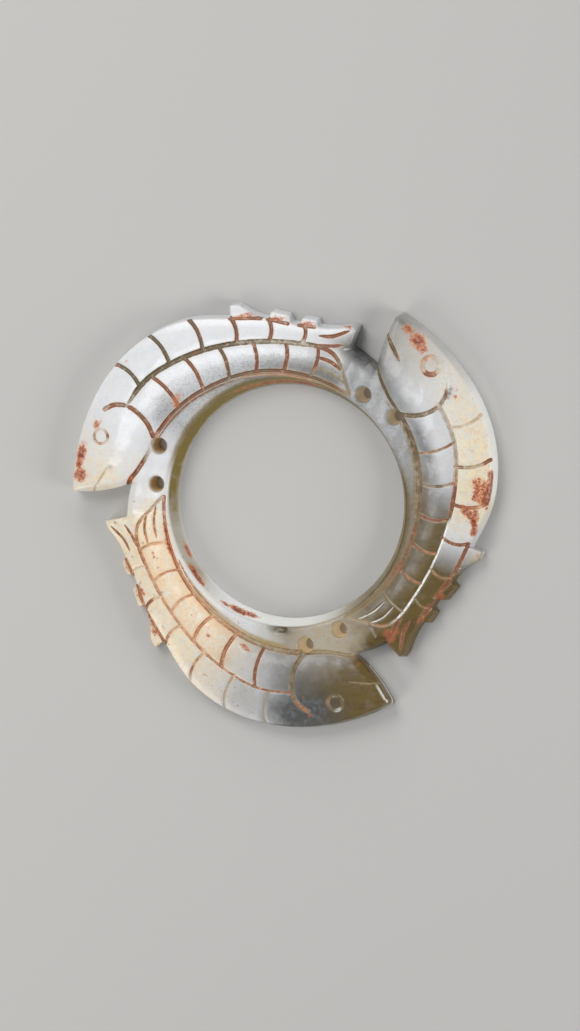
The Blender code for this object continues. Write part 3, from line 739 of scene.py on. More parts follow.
def ring_shell(outline, kinds):
    """The whole ring before its lines are cut."""
    shell = Shell()
    fine_rim = leaned(even_loop(outline, EDGE_ROWS[0] / 2))
    tops = [leaned(outline)] + openings(BORE_FRONT_RADIUS, HOLE_MOUTH_RADIUS)
    inner = face_points(tops, fine_rim, kinds)
    points, faces = filled(tops, inner, BORE_FRONT_RADIUS, HOLE_MOUTH_RADIUS)
    heights = face_heights(points, fine_rim)
    face = shell.add(points, heights, 1.0)
    shell.faces += face[faces].tolist()

    foot_radii = BORE_RADIUS + BACK_ROUND, HOLE_EXIT_RADIUS + BACK_ROUND
    feet = [inset(outline, BACK_ROUND)] + openings(*foot_radii)
    field = ring_field(BACK_SPACING)
    inner = field[distances(field, np.concatenate(feet)) > BACK_SPACING / 3]
    points, faces = filled(feet, inner, *foot_radii)
    back = shell.add(points, 0.0)
    shell.faces += back[faces][:, ::-1].tolist()

    bottoms = [outline] + openings(BORE_RADIUS, HOLE_EXIT_RADIUS)
    start = 0
    for top, bottom in zip(tops, bottoms):
        numbers = np.arange(start, start + len(top))
        add_wall(shell, face[numbers], top, heights[numbers], bottom, back[numbers])
        start += len(top)
    return shell


class Wire:
    """One output of a node. Sums with wires add Math nodes to its tree."""

    def __init__(self, board, socket):
        self.board, self.socket = board, socket

    def _sum(self, operation, *others):
        return self.board.add("ShaderNodeMath", {"operation": operation}, dict(enumerate((self, *others))))

    def __add__(self, other):
        return self._sum("ADD", other)

    def __sub__(self, other):
        return self._sum("SUBTRACT", other)

    def __rsub__(self, other):
        return self.board.add("ShaderNodeMath", {"operation": "SUBTRACT"}, {0: other, 1: self})

    def __mul__(self, other):
        return self._sum("MULTIPLY", other)

    def __truediv__(self, other):
        return self._sum("DIVIDE", other)

    def __pow__(self, other):
        return self._sum("POWER", other)

    __radd__ = __add__
    __rmul__ = __mul__

    def least(self, other):
        return self._sum("MINIMUM", other)

    def most(self, other):
        return self._sum("MAXIMUM", other)

    def exceeds(self, other):
        """1 where this is the greater, and 0 elsewhere."""
        return self._sum("GREATER_THAN", other)

    def held(self):
        """The value held between 0 and 1."""
        return self.most(0.0).least(1.0)

    def eased(self, low, high):
        """0 up to low, 1 from high on, and a smooth rise between them."""
        inputs = {"Value": self, "From Min": low, "From Max": high}
        return self.board.add("ShaderNodeMapRange", {"interpolation_type": "SMOOTHSTEP"}, inputs)


class Board:
    """A node tree under construction."""

    def __init__(self, tree):
        self.tree = tree

    def add(self, kind, settings=None, inputs=None, output=0):
        """Adds a node with its settings, then its inputs as values or wires, and gives one output."""
        node = self.tree.nodes.new(kind)
        for name, value in (settings or {}).items():
            setattr(node, name, value)
        for name, value in (inputs or {}).items():
            socket = node.inputs[name]
            if isinstance(value, Wire):
                self.tree.links.new(value.socket, socket)
            else:
                socket.default_value = value
        return Wire(self, node.outputs[output])


ON_POINTS = {"data_type": "FLOAT", "domain": "POINT"}
CARVING_INPUTS = (
    ("Stone", "NodeSocketGeometry", None),
    ("Lines", "NodeSocketObject", None),
    ("Line Width", "NodeSocketFloat", FLANK_LINE_WIDTH),
    ("Line Depth", "NodeSocketFloat", 0.45 * MM),
    ("Floor Flatness", "NodeSocketFloat", FLOOR_FLATNESS),
    ("Lip Softness", "NodeSocketFloat", LIP_SOFTNESS),
    ("Finish", "NodeSocketMaterial", None),
)


def carving_tree():
    """A tree that cuts a stone's face along drawn lines and notes how near each point lies to a line."""
    tree = bpy.data.node_groups.new("carve along lines", "GeometryNodeTree")
    for name, kind, value in CARVING_INPUTS:
        socket = tree.interface.new_socket(name, in_out="INPUT", socket_type=kind)
        if value is not None:
            socket.default_value = value
    tree.interface.new_socket("Stone", in_out="OUTPUT", socket_type="NodeSocketGeometry")
    board = Board(tree)
    start = tree.nodes.new("NodeGroupInput")
    given = {name: Wire(board, start.outputs[name]) for name, kind, value in CARVING_INPUTS}

    def noted(name):
        return board.add("GeometryNodeInputNamedAttribute", {"data_type": "FLOAT"}, {"Name": name})

    lines = board.add("GeometryNodeObjectInfo", {}, {"Object": given["Lines"]}, "Geometry")
    place = board.add("GeometryNodeInputPosition")
    apart = board.add("ShaderNodeSeparateXYZ", {}, {"Vector": place})
    across = Wire(board, apart.socket.node.outputs["Y"])
    flat = board.add("ShaderNodeCombineXYZ", {}, {"X": apart, "Y": across})
    near = {0: lines, "Source Position": flat}
    distance = board.add("GeometryNodeProximity", {"target_element": "EDGES"}, near, "Distance")
    nearest = board.add("GeometryNodeSampleNearest", {"domain": "POINT"}, {0: lines, "Sample Position": flat})

    def from_line(name):
        inputs = {0: lines, "Value": noted(name), "Index": nearest}
        return board.add("GeometryNodeSampleIndex", ON_POINTS, inputs)

    off_middle = distance / (given["Line Width"] * from_line("reach") * 0.5)
    floor = 1 - off_middle.held() ** given["Floor Flatness"]
    profile = floor.held() ** given["Lip Softness"]
    depth = profile * given["Line Depth"] * from_line("cut") * noted("carved")
    before = noted("cut depth")
    deepest = before.most(depth)
    lift = board.add("ShaderNodeCombineXYZ", {}, {"Z": before - deepest})
    cut = board.add("GeometryNodeSetPosition", {}, {"Geometry": given["Stone"], "Offset": lift})

    nearness = 1 - off_middle
    closer = nearness.exceeds(noted("nearness"))
    results = {"cut depth": deepest}
    for name in ("line rust", "line stain"):
        results[name] = noted(name) + (from_line(name) - noted(name)) * closer
    # The nearness is stored last, as the stains compare with the one from before
    results["nearness"] = nearness.most(noted("nearness"))
    for name, value in results.items():
        inputs = {"Geometry": cut, "Name": name, "Value": value}
        cut = board.add("GeometryNodeStoreNamedAttribute", ON_POINTS, inputs)
    whole = board.add("GeometryNodeRealizeInstances", {}, {"Geometry": cut})
    done = board.add("GeometryNodeSetMaterial", {}, {"Geometry": whole, "Material": given["Finish"]})
    end = tree.nodes.new("NodeGroupOutput")
    tree.links.new(done.socket, end.inputs["Stone"])
    return tree


# The stone's tone along each fish, as (angle, cream, olive, grey): beside its belly, on the inner
# side of its flank line, and over its back
BODY_TONES = (
    {"belly": ((0, 0.4, 0.04, 0.12), (8, 0.2, 0.0, 0.05), (14, 0.1, 0.0, 0.05), (20, 0.0, 0.0, 0.12),
               (26, 0.0, 0.0, 0.14), (31, 0.0, 0.02, 0.46), (38, 0.0, 0.02, 0.44), (44, 0.0, 0.0, 0.28),
               (56, 0.0, 0.0, 0.26), (66, 0.0, 0.02, 0.36), (84, 0.0, 0.06, 0.48), (92, 0.0, 0.08, 0.38),
               (103, 0.05, 0.28, 0.44), (112, 0.05, 0.45, 0.42)),
     "flank": ((0, 0.55, 0.0, 0.08), (8, 0.3, 0.0, 0.08), (16, 0.05, 0.0, 0.08), (26, 0.0, 0.0, 0.0),
               (80, 0.0, 0.0, 0.0), (96, 0.0, 0.0, 0.05), (103, 0.05, 0.1, 0.25), (112, 0.05, 0.2, 0.3)),
     "back": ((0, 0.6, 0.02, 0.1), (8, 0.4, 0.0, 0.1), (16, 0.15, 0.0, 0.08), (28, 0.0, 0.0, 0.0),
              (104, 0.0, 0.0, 0.03), (112, 0.05, 0.15, 0.2))},
    {"belly": ((0, 0.05, 0.4, 0.68), (10, 0.0, 0.35, 0.62), (16, 0.0, 0.12, 0.62), (22, 0.0, 0.05, 0.56),
               (30, 0.0, 0.15, 0.58), (42, 0.0, 0.3, 0.6), (48, 0.0, 0.75, 0.36), (58, 0.0, 0.9, 0.3),
               (70, 0.0, 0.9, 0.3), (90, 0.0, 0.9, 0.26), (98, 0.0, 0.87, 0.14), (112, 0.0, 0.87, 0.05)),
     "flank": ((0, 0.1, 0.3, 0.6), (8, 0.05, 0.2, 0.5), (13, 0.05, 0.05, 0.32), (22, 0.05, 0.0, 0.2),
               (30, 0.05, 0.0, 0.18), (38, 0.08, 0.0, 0.16), (50, 0.05, 0.04, 0.28), (55, 0.0, 0.2, 0.46),
               (60, 0.0, 0.74, 0.36), (66, 0.0, 0.97, 0.1), (112, 0.0, 0.95, 0.05)),
     "back": ((0, 0.2, 0.26, 0.5), (8, 0.3, 0.09, 0.26), (15, 0.3, 0.08, 0.22), (20, 0.35, 0.03, 0.1),
              (26, 0.35, 0.02, 0.06), (34, 0.5, 0.0, 0.04), (46, 0.6, 0.0, 0.02), (53, 0.8, 0.03, 0.06),
              (62, 0.6, 0.03, 0.08), (67, 0.25, 0.02, 0.1), (71, 0.05, 0.05, 0.22), (77, 0.0, 0.6, 0.35),
              (81, 0.0, 0.97, 0.1), (112, 0.0, 0.97, 0.05))},
    {"belly": ((0, 0.05, 0.8, 0.1), (8, 0.0, 0.78, 0.12), (14, 0.0, 0.72, 0.3), (20, 0.0, 0.6, 0.36),
               (26, 0.0, 0.7, 0.46), (31, 0.0, 0.42, 0.58), (36, 0.1, 0.26, 0.48), (41, 0.3, 0.16, 0.36),
               (48, 0.5, 0.08, 0.24), (56, 0.75, 0.02, 0.1), (66, 0.8, 0.0, 0.0), (90, 0.8, 0.0, 0.0),
               (100, 0.5, 0.0, 0.0), (112, 0.4, 0.0, 0.0)),
     "flank": ((0, 0.0, 1.0, 0.05), (8, 0.0, 0.9, 0.05), (14, 0.0, 0.9, 0.15), (20, 0.0, 0.82, 0.46),
               (26, 0.0, 0.75, 0.6), (31, 0.0, 0.35, 0.62), (36, 0.05, 0.1, 0.46), (42, 0.2, 0.04, 0.34),
               (50, 0.5, 0.04, 0.22), (58, 0.8, 0.0, 0.06), (112, 0.85, 0.0, 0.0)),
     "back": ((0, 0.0, 0.93, 0.0), (9, 0.0, 0.97, 0.05), (14, 0.0, 0.95, 0.45), (18, 0.0, 0.95, 0.8),
              (24, 0.0, 0.9, 0.9), (28, 0.0, 0.3, 0.93), (32, 0.0, 0.05, 0.72), (37, 0.04, 0.02, 0.42),
              (44, 0.2, 0.03, 0.4), (50, 0.4, 0.0, 0.22), (58, 0.65, 0.0, 0.12), (66, 0.8, 0.0, 0.04),
              (112, 0.8, 0.0, 0.08))},
)

# The border's tone, by the angle clockwise past the first fish's nose
BORDER_TONES = (
    (0, 0.15, 0.0, 0.1), (16, 0.0, 0.03, 0.18), (24, 0.0, 0.1, 0.3), (33, 0.0, 0.2, 0.55),
    (44, 0.05, 0.2, 0.42), (60, 0.1, 0.35, 0.55), (72, 0.15, 0.35, 0.72), (85, 0.15, 0.4, 0.58),
    (104, 0.1, 0.25, 0.42), (113, 0.0, 0.1, 0.45), (124, 0.0, 0.2, 0.64), (132, 0.0, 0.12, 0.5),
    (150, 0.0, 0.14, 0.5), (156, 0.0, 0.24, 0.56), (161, 0.0, 0.45, 0.36), (166, 0.0, 0.68, 0.18),
    (174, 0.0, 0.8, 0.06), (190, 0.05, 0.82, 0.06), (206, 0.05, 0.84, 0.06), (214, 0.1, 0.74, 0.1),
    (228, 0.15, 0.78, 0.12), (236, 0.45, 0.74, 0.06), (245, 0.65, 0.58, 0.08), (253, 0.6, 0.48, 0.12),
    (262, 0.6, 0.5, 0.16), (269, 0.5, 0.55, 0.28), (276, 0.2, 0.16, 0.28), (285, 0.12, 0.04, 0.16),
    (297, 0.12, 0.02, 0.14), (306, 0.2, 0.0, 0.06), (330, 0.25, 0.02, 0.04), (350, 0.3, 0.0, 0.05),
    (360, 0.15, 0.0, 0.1),
)

# The bore's wall, by the same angle: how golden olive it is, how white, and how strong a painted highlight
# lies on it
WALL_GOLD = ((0, 0.9), (20, 1.0), (110, 1.0), (150, 0.7), (230, 0.4), (265, 0.1), (300, 0.08),
             (314, 0.35), (322, 0.65), (332, 0.5), (345, 0.55), (360, 0.9))
WALL_WHITE = ((0, 1.0), (40, 1.0), (90, 0.6), (110, 0.0), (225, 0.0), (255, 1.0), (305, 1.0), (320, 0.5),
              (345, 0.8), (360, 1.0))
WALL_PAINTED_HIGHLIGHT = ((0, 0.0), (240, 0.0), (260, 0.9), (292, 0.9), (305, 0.3), (320, 0.0), (360, 0.0))

# How amber the holes' walls are, and how strong a painted glow they emit for the light that comes through the
# stone, by fish
HOLE_AMBER = (0.8, 0.32, 0.3)
HOLE_PAINTED_GLOW = (0.0, 0.6, 1.0)

# Stains, clouds and painted shade, as (fish, angle, radius, reach along, reach across, strength), lengths in
# millimetres
PATCHES = {
    "rust": (
        (0, 10.2, 50.6, 2.5, 1.1, 0.95), (0, 7.4, 50.8, 1.5, 0.9, 0.85), (0, 4.6, 50.2, 1.6, 1.6, 1.0),
        (0, 18.9, 48.9, 1.0, 0.8, 0.85), (0, 20.6, 48.2, 0.9, 0.4, 0.5), (0, 38.2, 49.9, 0.7, 0.5, 0.6),
        (0, 40.5, 35.4, 2.0, 1.0, 0.6), (0, 38.3, 34.6, 1.0, 0.8, 0.7), (0, 20.2, 49.9, 0.8, 0.3, 0.4),
        (0, 107.8, 43.9, 1.6, 0.6, 0.75), (0, 105.0, 43.2, 1.0, 0.4, 0.5), (0, 5.2, 38.0, 1.0, 0.5, 0.8),
        (1, 8.6, 50.1, 1.9, 1.5, 1.0), (1, 4.6, 50.7, 1.3, 0.9, 0.95), (1, 11.2, 49.5, 1.1, 1.3, 0.75),
        (1, 9.8, 48.7, 0.9, 0.6, 0.6), (1, 26.6, 48.5, 0.7, 0.6, 0.65), (1, 25.4, 49.6, 0.4, 0.5, 0.5),
        (1, 72.8, 47.2, 0.5, 0.5, 0.8), (1, 88.8, 42.4, 1.1, 0.8, 0.9), (1, 57.4, 47.6, 0.8, 0.8, 0.7),
        (1, 91.2, 41.9, 0.8, 0.6, 0.7), (1, 98.5, 41.6, 1.2, 0.6, 0.7), (1, 109.4, 39.0, 1.3, 1.5, 1.0),
        (1, 106.5, 39.2, 1.2, 0.9, 0.7), (1, 112.6, 39.6, 0.8, 1.2, 0.6), (1, 111.5, 43.0, 1.0, 0.4, 0.5),
        (2, 23.3, 45.2, 0.35, 0.35, 0.7), (2, 21.9, 49.5, 0.5, 0.45, 0.85), (2, 24.2, 47.6, 0.3, 0.3, 0.6),
        (2, 43.9, 35.6, 1.0, 0.45, 0.75), (2, 45.6, 35.0, 1.0, 0.5, 0.8), (2, 59.4, 36.5, 0.6, 0.5, 0.8),
        (2, 60.8, 35.1, 0.4, 0.3, 0.4), (2, 53.3, 33.8, 0.3, 0.3, 0.5), (2, 95.6, 34.6, 0.4, 0.4, 0.7),
        (2, 97.2, 34.5, 0.4, 0.4, 0.7), (2, 97.0, 30.5, 2.8, 0.42, 0.9), (2, 104.5, 30.1, 1.6, 0.36, 0.8),
        (2, 90.5, 30.6, 0.6, 0.4, 0.7), (2, 74.5, 44.9, 1.2, 0.8, 0.75), (2, 69.6, 47.4, 0.9, 0.5, 0.8),
        (2, 87.0, 41.2, 1.3, 0.5, 0.85), (2, 69.2, 45.6, 0.7, 0.7, 0.7), (2, 3.5, 40.8, 0.7, 0.6, 0.6),
    ),
    "grey": (
        (2, 27.5, 48.8, 2.6, 2.0, 0.22), (2, 31.5, 47.8, 2.0, 1.8, 0.15), (2, 23.0, 47.8, 2.0, 2.4, 0.15),
        (1, 25.0, 47.7, 0.45, 0.4, 0.95), (1, 25.8, 46.9, 0.35, 0.3, 0.8), (1, 24.3, 48.5, 0.3, 0.4, 0.8),
        # Three long grey patches along the middle of the second fish's lower row: painted shade
        (1, 32.0, 36.6, 3.6, 0.8, 0.2), (1, 43.0, 36.6, 7.0, 0.85, 0.25), (1, 53.0, 37.2, 5.0, 0.9, 0.2),
        (0, 8.4, 43.0, 0.4, 0.4, 0.5), (0, 101.0, 32.2, 9.0, 2.2, 0.18), (2, 31.4, 29.5, 2.0, 0.7, 0.2),
        (0, 117.5, 39.4, 6.0, 1.7, 0.55), (0, 113.6, 40.8, 2.2, 2.0, 0.6), (0, 110.8, 46.5, 1.0, 2.4, 0.3),
        (2, 88.5, 30.1, 0.3, 0.3, 0.7), (1, 2.0, 51.2, 4.0, 0.6, 0.3),
    ),
    "olive": (
        (2, 3.2, 42.4, 2.4, 1.6, 0.8), (2, 13.0, 45.5, 3.0, 1.5, 0.3), (1, 113.5, 38.0, 3.0, 1.6, 0.5),
        (1, 0.0, 40.0, 2.0, 1.2, 0.5), (2, 31.4, 29.5, 1.9, 0.7, 0.8), (0, 116.8, 39.6, 7.0, 1.7, 0.5),
        (1, 117.0, 39.6, 6.0, 1.2, 0.5), (2, 30.0, 29.2, 5.0, 0.35, 0.35), (1, 62.0, 28.9, 20.0, 0.7, 0.35),
        (0, 78.0, 29.2, 14.0, 0.8, 0.25), (0, 102.0, 31.8, 8.0, 1.9, 0.24),
    ),
    "cream": (
        (2, 112.0, 33.0, 4.0, 2.5, 0.3), (0, 6.0, 44.5, 4.0, 2.5, 0.3), (1, 40.0, 49.0, 8.0, 2.5, 0.25),
        (1, 75.0, 47.4, 2.4, 1.6, 0.9), (2, 29.5, 36.0, 1.5, 1.2, 0.2), (0, 80.0, 29.4, 18.0, 0.9, 0.5),
        (1, 55.0, 48.0, 4.0, 2.5, 0.4), (1, 117.0, 33.0, 8.0, 2.5, 0.25),
    ),
}

# Above this height a point is on the face. Stains fade out downwards between two heights.
FACE_FLOOR = 3 * MM
RUST_FADE = (2.2 * MM, 3.4 * MM)
LINE_STAIN_FADE = (2.95 * MM, 3.5 * MM)

# How rusty the feet of the fins are, by fish
FIN_RUST = (0.66, 0.3, 0.6)

# Rust that runs along a way, as (fish, (angle, radius) points, reach, strength), lengths in millimetres
RUST_STREAKS = (
    (1, ((49.4, 50.0), (52.0, 49.8), (54.5, 49.2)), 0.65, 1.0),
    (1, ((53.6, 49.2), (57.0, 48.2)), 1.15, 1.0),
    (1, ((51.2, 46.2), (53.0, 46.6), (56.0, 45.8)), 0.9, 0.72),
    (1, ((51.8, 48.2), (54.4, 47.6), (57.0, 46.8)), 0.8, 0.66),
    (1, ((50.6, 47.3), (52.6, 47.0), (56.2, 45.2)), 0.4, 0.8),
    (1, ((58.0, 42.2), (58.6, 44.2), (58.8, 46.6)), 0.4, 0.5),
    (1, ((59.0, 48.2), (59.3, 48.6)), 0.4, 0.9),
    (1, ((59.4, 43.2), (60.6, 44.4), (62.4, 45.2)), 0.95, 0.9),
    (1, ((59.8, 45.6), (61.6, 45.9)), 0.8, 0.7),
    (1, ((62.4, 45.3), (64.2, 45.6), (66.4, 45.4)), 0.7, 0.9),
)

# Rust on the bore's wall, as (angle past the first fish's nose, height, reach along and up, strength)
WALL_STAINS = (
    (64.5, 3.3, 2.8, 0.45, 1.05), (70.5, 2.9, 3.6, 0.5, 1.2), (77.5, 2.5, 4.6, 0.6, 1.2),
    (86.0, 2.7, 5.5, 0.7, 1.15), (96.0, 2.6, 6.0, 1.1, 1.2), (104.0, 2.8, 4.0, 0.8, 0.8),
    (58.0, 2.6, 2.5, 0.3, 0.5), (318.5, 3.7, 4.2, 0.9, 1.1), (323.5, 3.3, 3.5, 0.8, 1.05),
    (333.0, 1.7, 4.2, 0.6, 1.0), (294.0, 3.1, 5.2, 1.1, 1.05), (288.5, 2.6, 4.0, 0.9, 0.95),
    (301.0, 3.6, 3.0, 0.7, 0.8),
)


class Places:
    """Where points lie: on which fish, at what angle, radius and share, how far clockwise past the first
    fish's nose, and at what shares the lines of their fish run beside them."""

    def __init__(self, points, height):
        self.points, self.height = points, height
        self.number, self.angle, self.radius = fish_places(points)
        self.share = share_of(self.radius)
        self.turn = (FISH[0]["nose"] - np.degrees(np.arctan2(points[:, 1], points[:, 0]))) % 360
        on_fish = np.minimum(self.angle, TAIL_END)
        lines = (BACK_LINE, FLANK_LINE, BELLY_LINE)
        self.back, self.flank, self.belly = (smooth_value(line, on_fish) for line in lines)
        self.up_lower_row = (self.share - self.belly) / (self.flank - self.belly)

    def by_turn(self, marks):
        return np.interp(self.turn, *np.array(marks).T)


def stone_tones(at):
    """Cream, olive and grey over the face, from the rows above and below each flank and the border."""
    upper = ease(-1, 1, (at.share - at.flank) / (0.02 + 0.20 * ease(30, 22, at.angle)))
    inner = ease(0.15, 0.65, at.up_lower_row)
    fish = ease(-0.02, 0.02, at.share - at.belly) * ease(TAIL_END + 4, TAIL_END - 3, at.angle)
    # Along the second fish's back edge, the cream is taken out: a painted highlight on its rim
    rim = np.where(at.number == 1, ease(0.03, 0.0, at.back - at.share), 0.0)
    tones = {}
    for k, name in enumerate(("cream", "olive", "grey"), start=1):
        tone = at.by_turn([(mark[0], mark[k]) for mark in BORDER_TONES]) * (1 - fish)
        for number, body in enumerate(BODY_TONES):
            rows = [np.array(body[row]) for row in ("belly", "flank", "back")]
            low, middle, high = (np.interp(at.angle, row[:, 0], row[:, k]) for row in rows)
            middle = low + (middle - low) * inner
            body_tone = middle + (high - middle) * upper
            if name == "cream":
                body_tone *= 1 - 0.7 * rim
            tone += (at.number == number) * fish * body_tone
        tones[name] = tone
    return tones


def faded(aside, out):
    """A patch's strength at shares of its reach, from 1 in its middle outwards."""
    return np.exp(-0.7 * (aside ** 2 + out ** 2))


def patch_strength(at, patches):
    """The strongest of the patches at each point."""
    strongest = np.zeros(len(at.points))
    for fish, middle, middle_radius, along_reach, across_reach, strength in patches:
        aside = np.radians(at.angle - middle) * at.radius / (along_reach * MM)
        out = (at.radius - middle_radius * MM) / (across_reach * MM)
        strongest = np.maximum(strongest, strength * faded(aside, out) * (at.number == fish))
    return strongest


def streak_patches():
    """The rust streaks as rows of round patches."""
    patches = []
    for fish, way, reach, strength in RUST_STREAKS:
        marks = np.linspace(0, len(way) - 1, 8 * len(way))
        angles, radii = (np.interp(marks, np.arange(len(way)), values) for values in zip(*way))
        patches += [(fish, angle, radius, reach, reach, strength) for angle, radius in zip(angles, radii)]
    return tuple(patches)


def fin_stains():
    """Rust along the feet of the fins."""
    stains = []
    for number, strength in enumerate(FIN_RUST):
        for fin in FINS:
            middle = (fin["foot"] + fin["base_end"]) / 2
            radius = line_radius(BACK_LINE, middle) / MM
            reach = 0.5 * math.radians(fin["base_end"] - fin["foot"]) * radius
            stains.append((number, middle, radius + 0.1, reach, 0.6, strength))
    return tuple(stains)


def rust_stains(at, wall):
    """Rust in patches and streaks on the face, and in patches on the bore's wall."""
    rust = patch_strength(at, PATCHES["rust"] + fin_stains() + streak_patches())
    rust *= ease(*RUST_FADE, at.height)
    for middle, level, reach, tall, strength in WALL_STAINS:
        aside = ((at.turn - middle + 180) % 360 - 180) / reach
        up = (at.height / MM - level) / tall
        rust = np.maximum(rust, wall * strength * faded(aside, up))
    return rust


def bore_rim(at):
    """The band on the border above the golden part of the bore's wall."""
    band = ease(1.5 * MM, -0.2 * MM, at.radius - BORE_FRONT_RADIUS) * (at.height > FACE_FLOOR)
    return band * ease(6, 24, at.turn) * ease(120, 112, at.turn)


def belly_seep(at):
    """The ochre band on the border beside the third fish's belly."""
    below = (at.belly - at.share) * BODY_DEPTH
    band = ease(-0.1 * MM, 0.25 * MM, below) * ease(1.9 * MM, 1.1 * MM, below) * (at.height > FACE_FLOOR)
    return band * (at.number == 2) * ease(26, 32, at.angle) * ease(90, 70, at.angle)


def gold_tone(at, wall, rim, seep):
    """How golden the bore's wall, the rim above it and the seep are."""
    on_wall = wall * at.by_turn(WALL_GOLD) * ease(5.4 * MM, 4.9 * MM, at.height)
    on_wall *= 0.5 + 0.5 * ease(0.2 * MM, 1.9 * MM, at.height)
    on_seep = seep * (0.58 + 0.24 * ease(50, 38, at.angle))
    return np.maximum(np.maximum(on_wall, 0.85 * rim), on_seep)


def painted_highlight_tone(at, wall, outline):
    """How strong the painted highlights are on the bore's wall, the second fish's back edge and the third
    one's snout.
    """
    # A painted highlight along the second fish's back edge
    over = (at.share - at.back) * BODY_DEPTH
    back_edge_highlight = ease(-0.75 * MM, -0.45 * MM, over) * (at.number == 1)
    back_edge_highlight *= ease(22, 30, at.angle) * ease(60, 54, at.angle)
    # A painted highlight on the third fish's snout: a line just inside its front edge and a band low on its
    # wall
    snout = np.where(at.number == 2, at.angle < 4, (at.number == 1) & (at.angle > 119))
    snout &= at.radius > 42 * MM
    from_edge = np.full(len(at.points), 9.0)
    from_edge[snout] = distances(at.points[snout], outline) / MM
    lit = ease(0.6, 0.4, from_edge) * ease(0.1, 0.22, from_edge) * (at.height > 4.4 * MM)
    lit *= ease(46 * MM, 48 * MM, at.radius)
    low = ease(0.8 * MM, 1.0 * MM, at.height) * ease(1.7 * MM, 1.5 * MM, at.height) * (from_edge < 0.3)
    # A painted highlight on the bore's wall near its bottom
    on_wall = wall * at.by_turn(WALL_PAINTED_HIGHLIGHT)
    return np.maximum(np.maximum(on_wall, 0.8 * back_edge_highlight), 0.85 * np.maximum(lit, low))


def hole_tones(at):
    """How amber the holes' walls are, and how strong the painted glow is that they emit for light through the
    stone.
    """
    amber = np.zeros(len(at.points))
    glow = np.zeros(len(at.points))
    for i, centre in enumerate(hole_centres()):
        fish = i // len(HOLE_PLACES)
        inside = HOLE_MOUTH_RADIUS - np.linalg.norm(at.points - centre, axis=1)
        inside = ease(-0.05 * MM, 0.3 * MM, inside)
        amber = np.maximum(amber, HOLE_AMBER[fish] * inside)
        glow = np.maximum(glow, HOLE_PAINTED_GLOW[fish] * inside * (at.height < 5.1 * MM))
    return amber, glow


def scattered_tones(at):
    """How thick the grey specks and the rusty flecks are, and how warm the third fish is."""
    lower = ease(0.02, -0.02, at.share - at.flank)
    inner = ease(0.3, 0.8, at.up_lower_row)
    specks = np.where(at.number == 0, 0.1 + (0.9 - 0.65 * inner) * lower * ease(20, 36, at.angle), 0.2)
    specks = np.where((at.number == 1) & (at.share < 0.25), 0.6, specks)
    flecks = np.where(at.number == 1, 0.5 * (1 - lower), 0.0)
    flecks = np.where(at.number == 2, 0.9 * ease(32, 46, at.angle), flecks) * (at.height > FACE_FLOOR)
    warm = (at.number == 2) * ease(-0.06, 0.0, at.share - at.belly) * (0.35 + 0.65 * lower)
    warm *= ease(36, 62, at.angle) * ease(TAIL_END + 2, TAIL_END - 14, at.angle)
    return {"specks": specks, "flecks": flecks, "warm": warm}


def paint_tones(mesh, outline):
    """Notes the stone's tones, stains, painted highlights and painted glow on the points of the finished
    ring.
    """
    places = np.empty(len(mesh.vertices) * 3, np.float32)
    mesh.vertices.foreach_get("co", places)
    places = places.reshape(-1, 3).astype(float)
    at = Places(places[:, :2], places[:, 2])
    wall = ease(0, 0.25 * MM, BORE_FRONT_RADIUS + 0.12 * MM - at.radius) * ease(0, 0.3 * MM, at.height)
    rim = bore_rim(at)
    seep = belly_seep(at)

    tones = stone_tones(at)
    for name in tones:
        tones[name] = np.clip(tones[name] + patch_strength(at, PATCHES[name]), 0, 1)
        tones[name] *= 1 - wall * at.by_turn(WALL_WHITE)
    tones["grey"] = np.clip(tones["grey"] + 0.12 * rim, 0, 1)
    tones["gold"] = gold_tone(at, wall, rim, seep)
    tones["pale"] = painted_highlight_tone(at, wall, outline)
    tones["rust"] = rust_stains(at, wall)
    amber, tones["glow"] = hole_tones(at)
    tones["amber"] = np.maximum(amber, 0.2 * seep)
    tones.update(scattered_tones(at))
    tones["nearness"] = np.maximum(values_of(mesh, "nearness"), -3)
    tones["line stain"] = values_of(mesh, "line stain") * ease(*LINE_STAIN_FADE, at.height)
    for name, values in tones.items():
        set_values(mesh, name, values)


# The jade's colours, in linear light
WHITE_JADE = (0.745, 0.76, 0.785)
CREAM_JADE = (0.86, 0.74, 0.49)
GREY_JADE = (0.06, 0.06, 0.055)
OLIVE_JADE = (0.13, 0.083, 0.012)
GOLD_JADE = (0.20, 0.135, 0.010)
AMBER_JADE = (0.80, 0.52, 0.16)
BLUSH_JADE = (0.82, 0.60, 0.43)
BLUE_JADE = (0.66, 0.73, 0.74)
SLATE_JADE = (0.17, 0.20, 0.22)
PEACH_JADE = (0.84, 0.58, 0.36)
BROWN_JADE = (0.085, 0.04, 0.01)
OLIVE_STAIN = (0.10, 0.08, 0.035)
TAN_STAIN = (0.50, 0.37, 0.19)
FLOOR_STAIN = (0.22, 0.14, 0.07)
BLOT_STAIN = (0.50, 0.14, 0.045)
PEACH_STAIN = (0.74, 0.42, 0.22)
FRESH_STAIN = (0.42, 0.105, 0.022)
ORANGE_STAIN = (0.25, 0.07, 0.02)
RED_STAIN = (0.18, 0.03, 0.014)
# The colour of the painted glow that the holes' walls emit
HOLE_LIGHT = (0.24, 0.19, 0.12)
# The pale colour of the painted highlights and glints
PAINTED_HIGHLIGHT = (0.92, 0.92, 0.88)
FLOOR_COLOUR = (0.50, 0.492, 0.478)


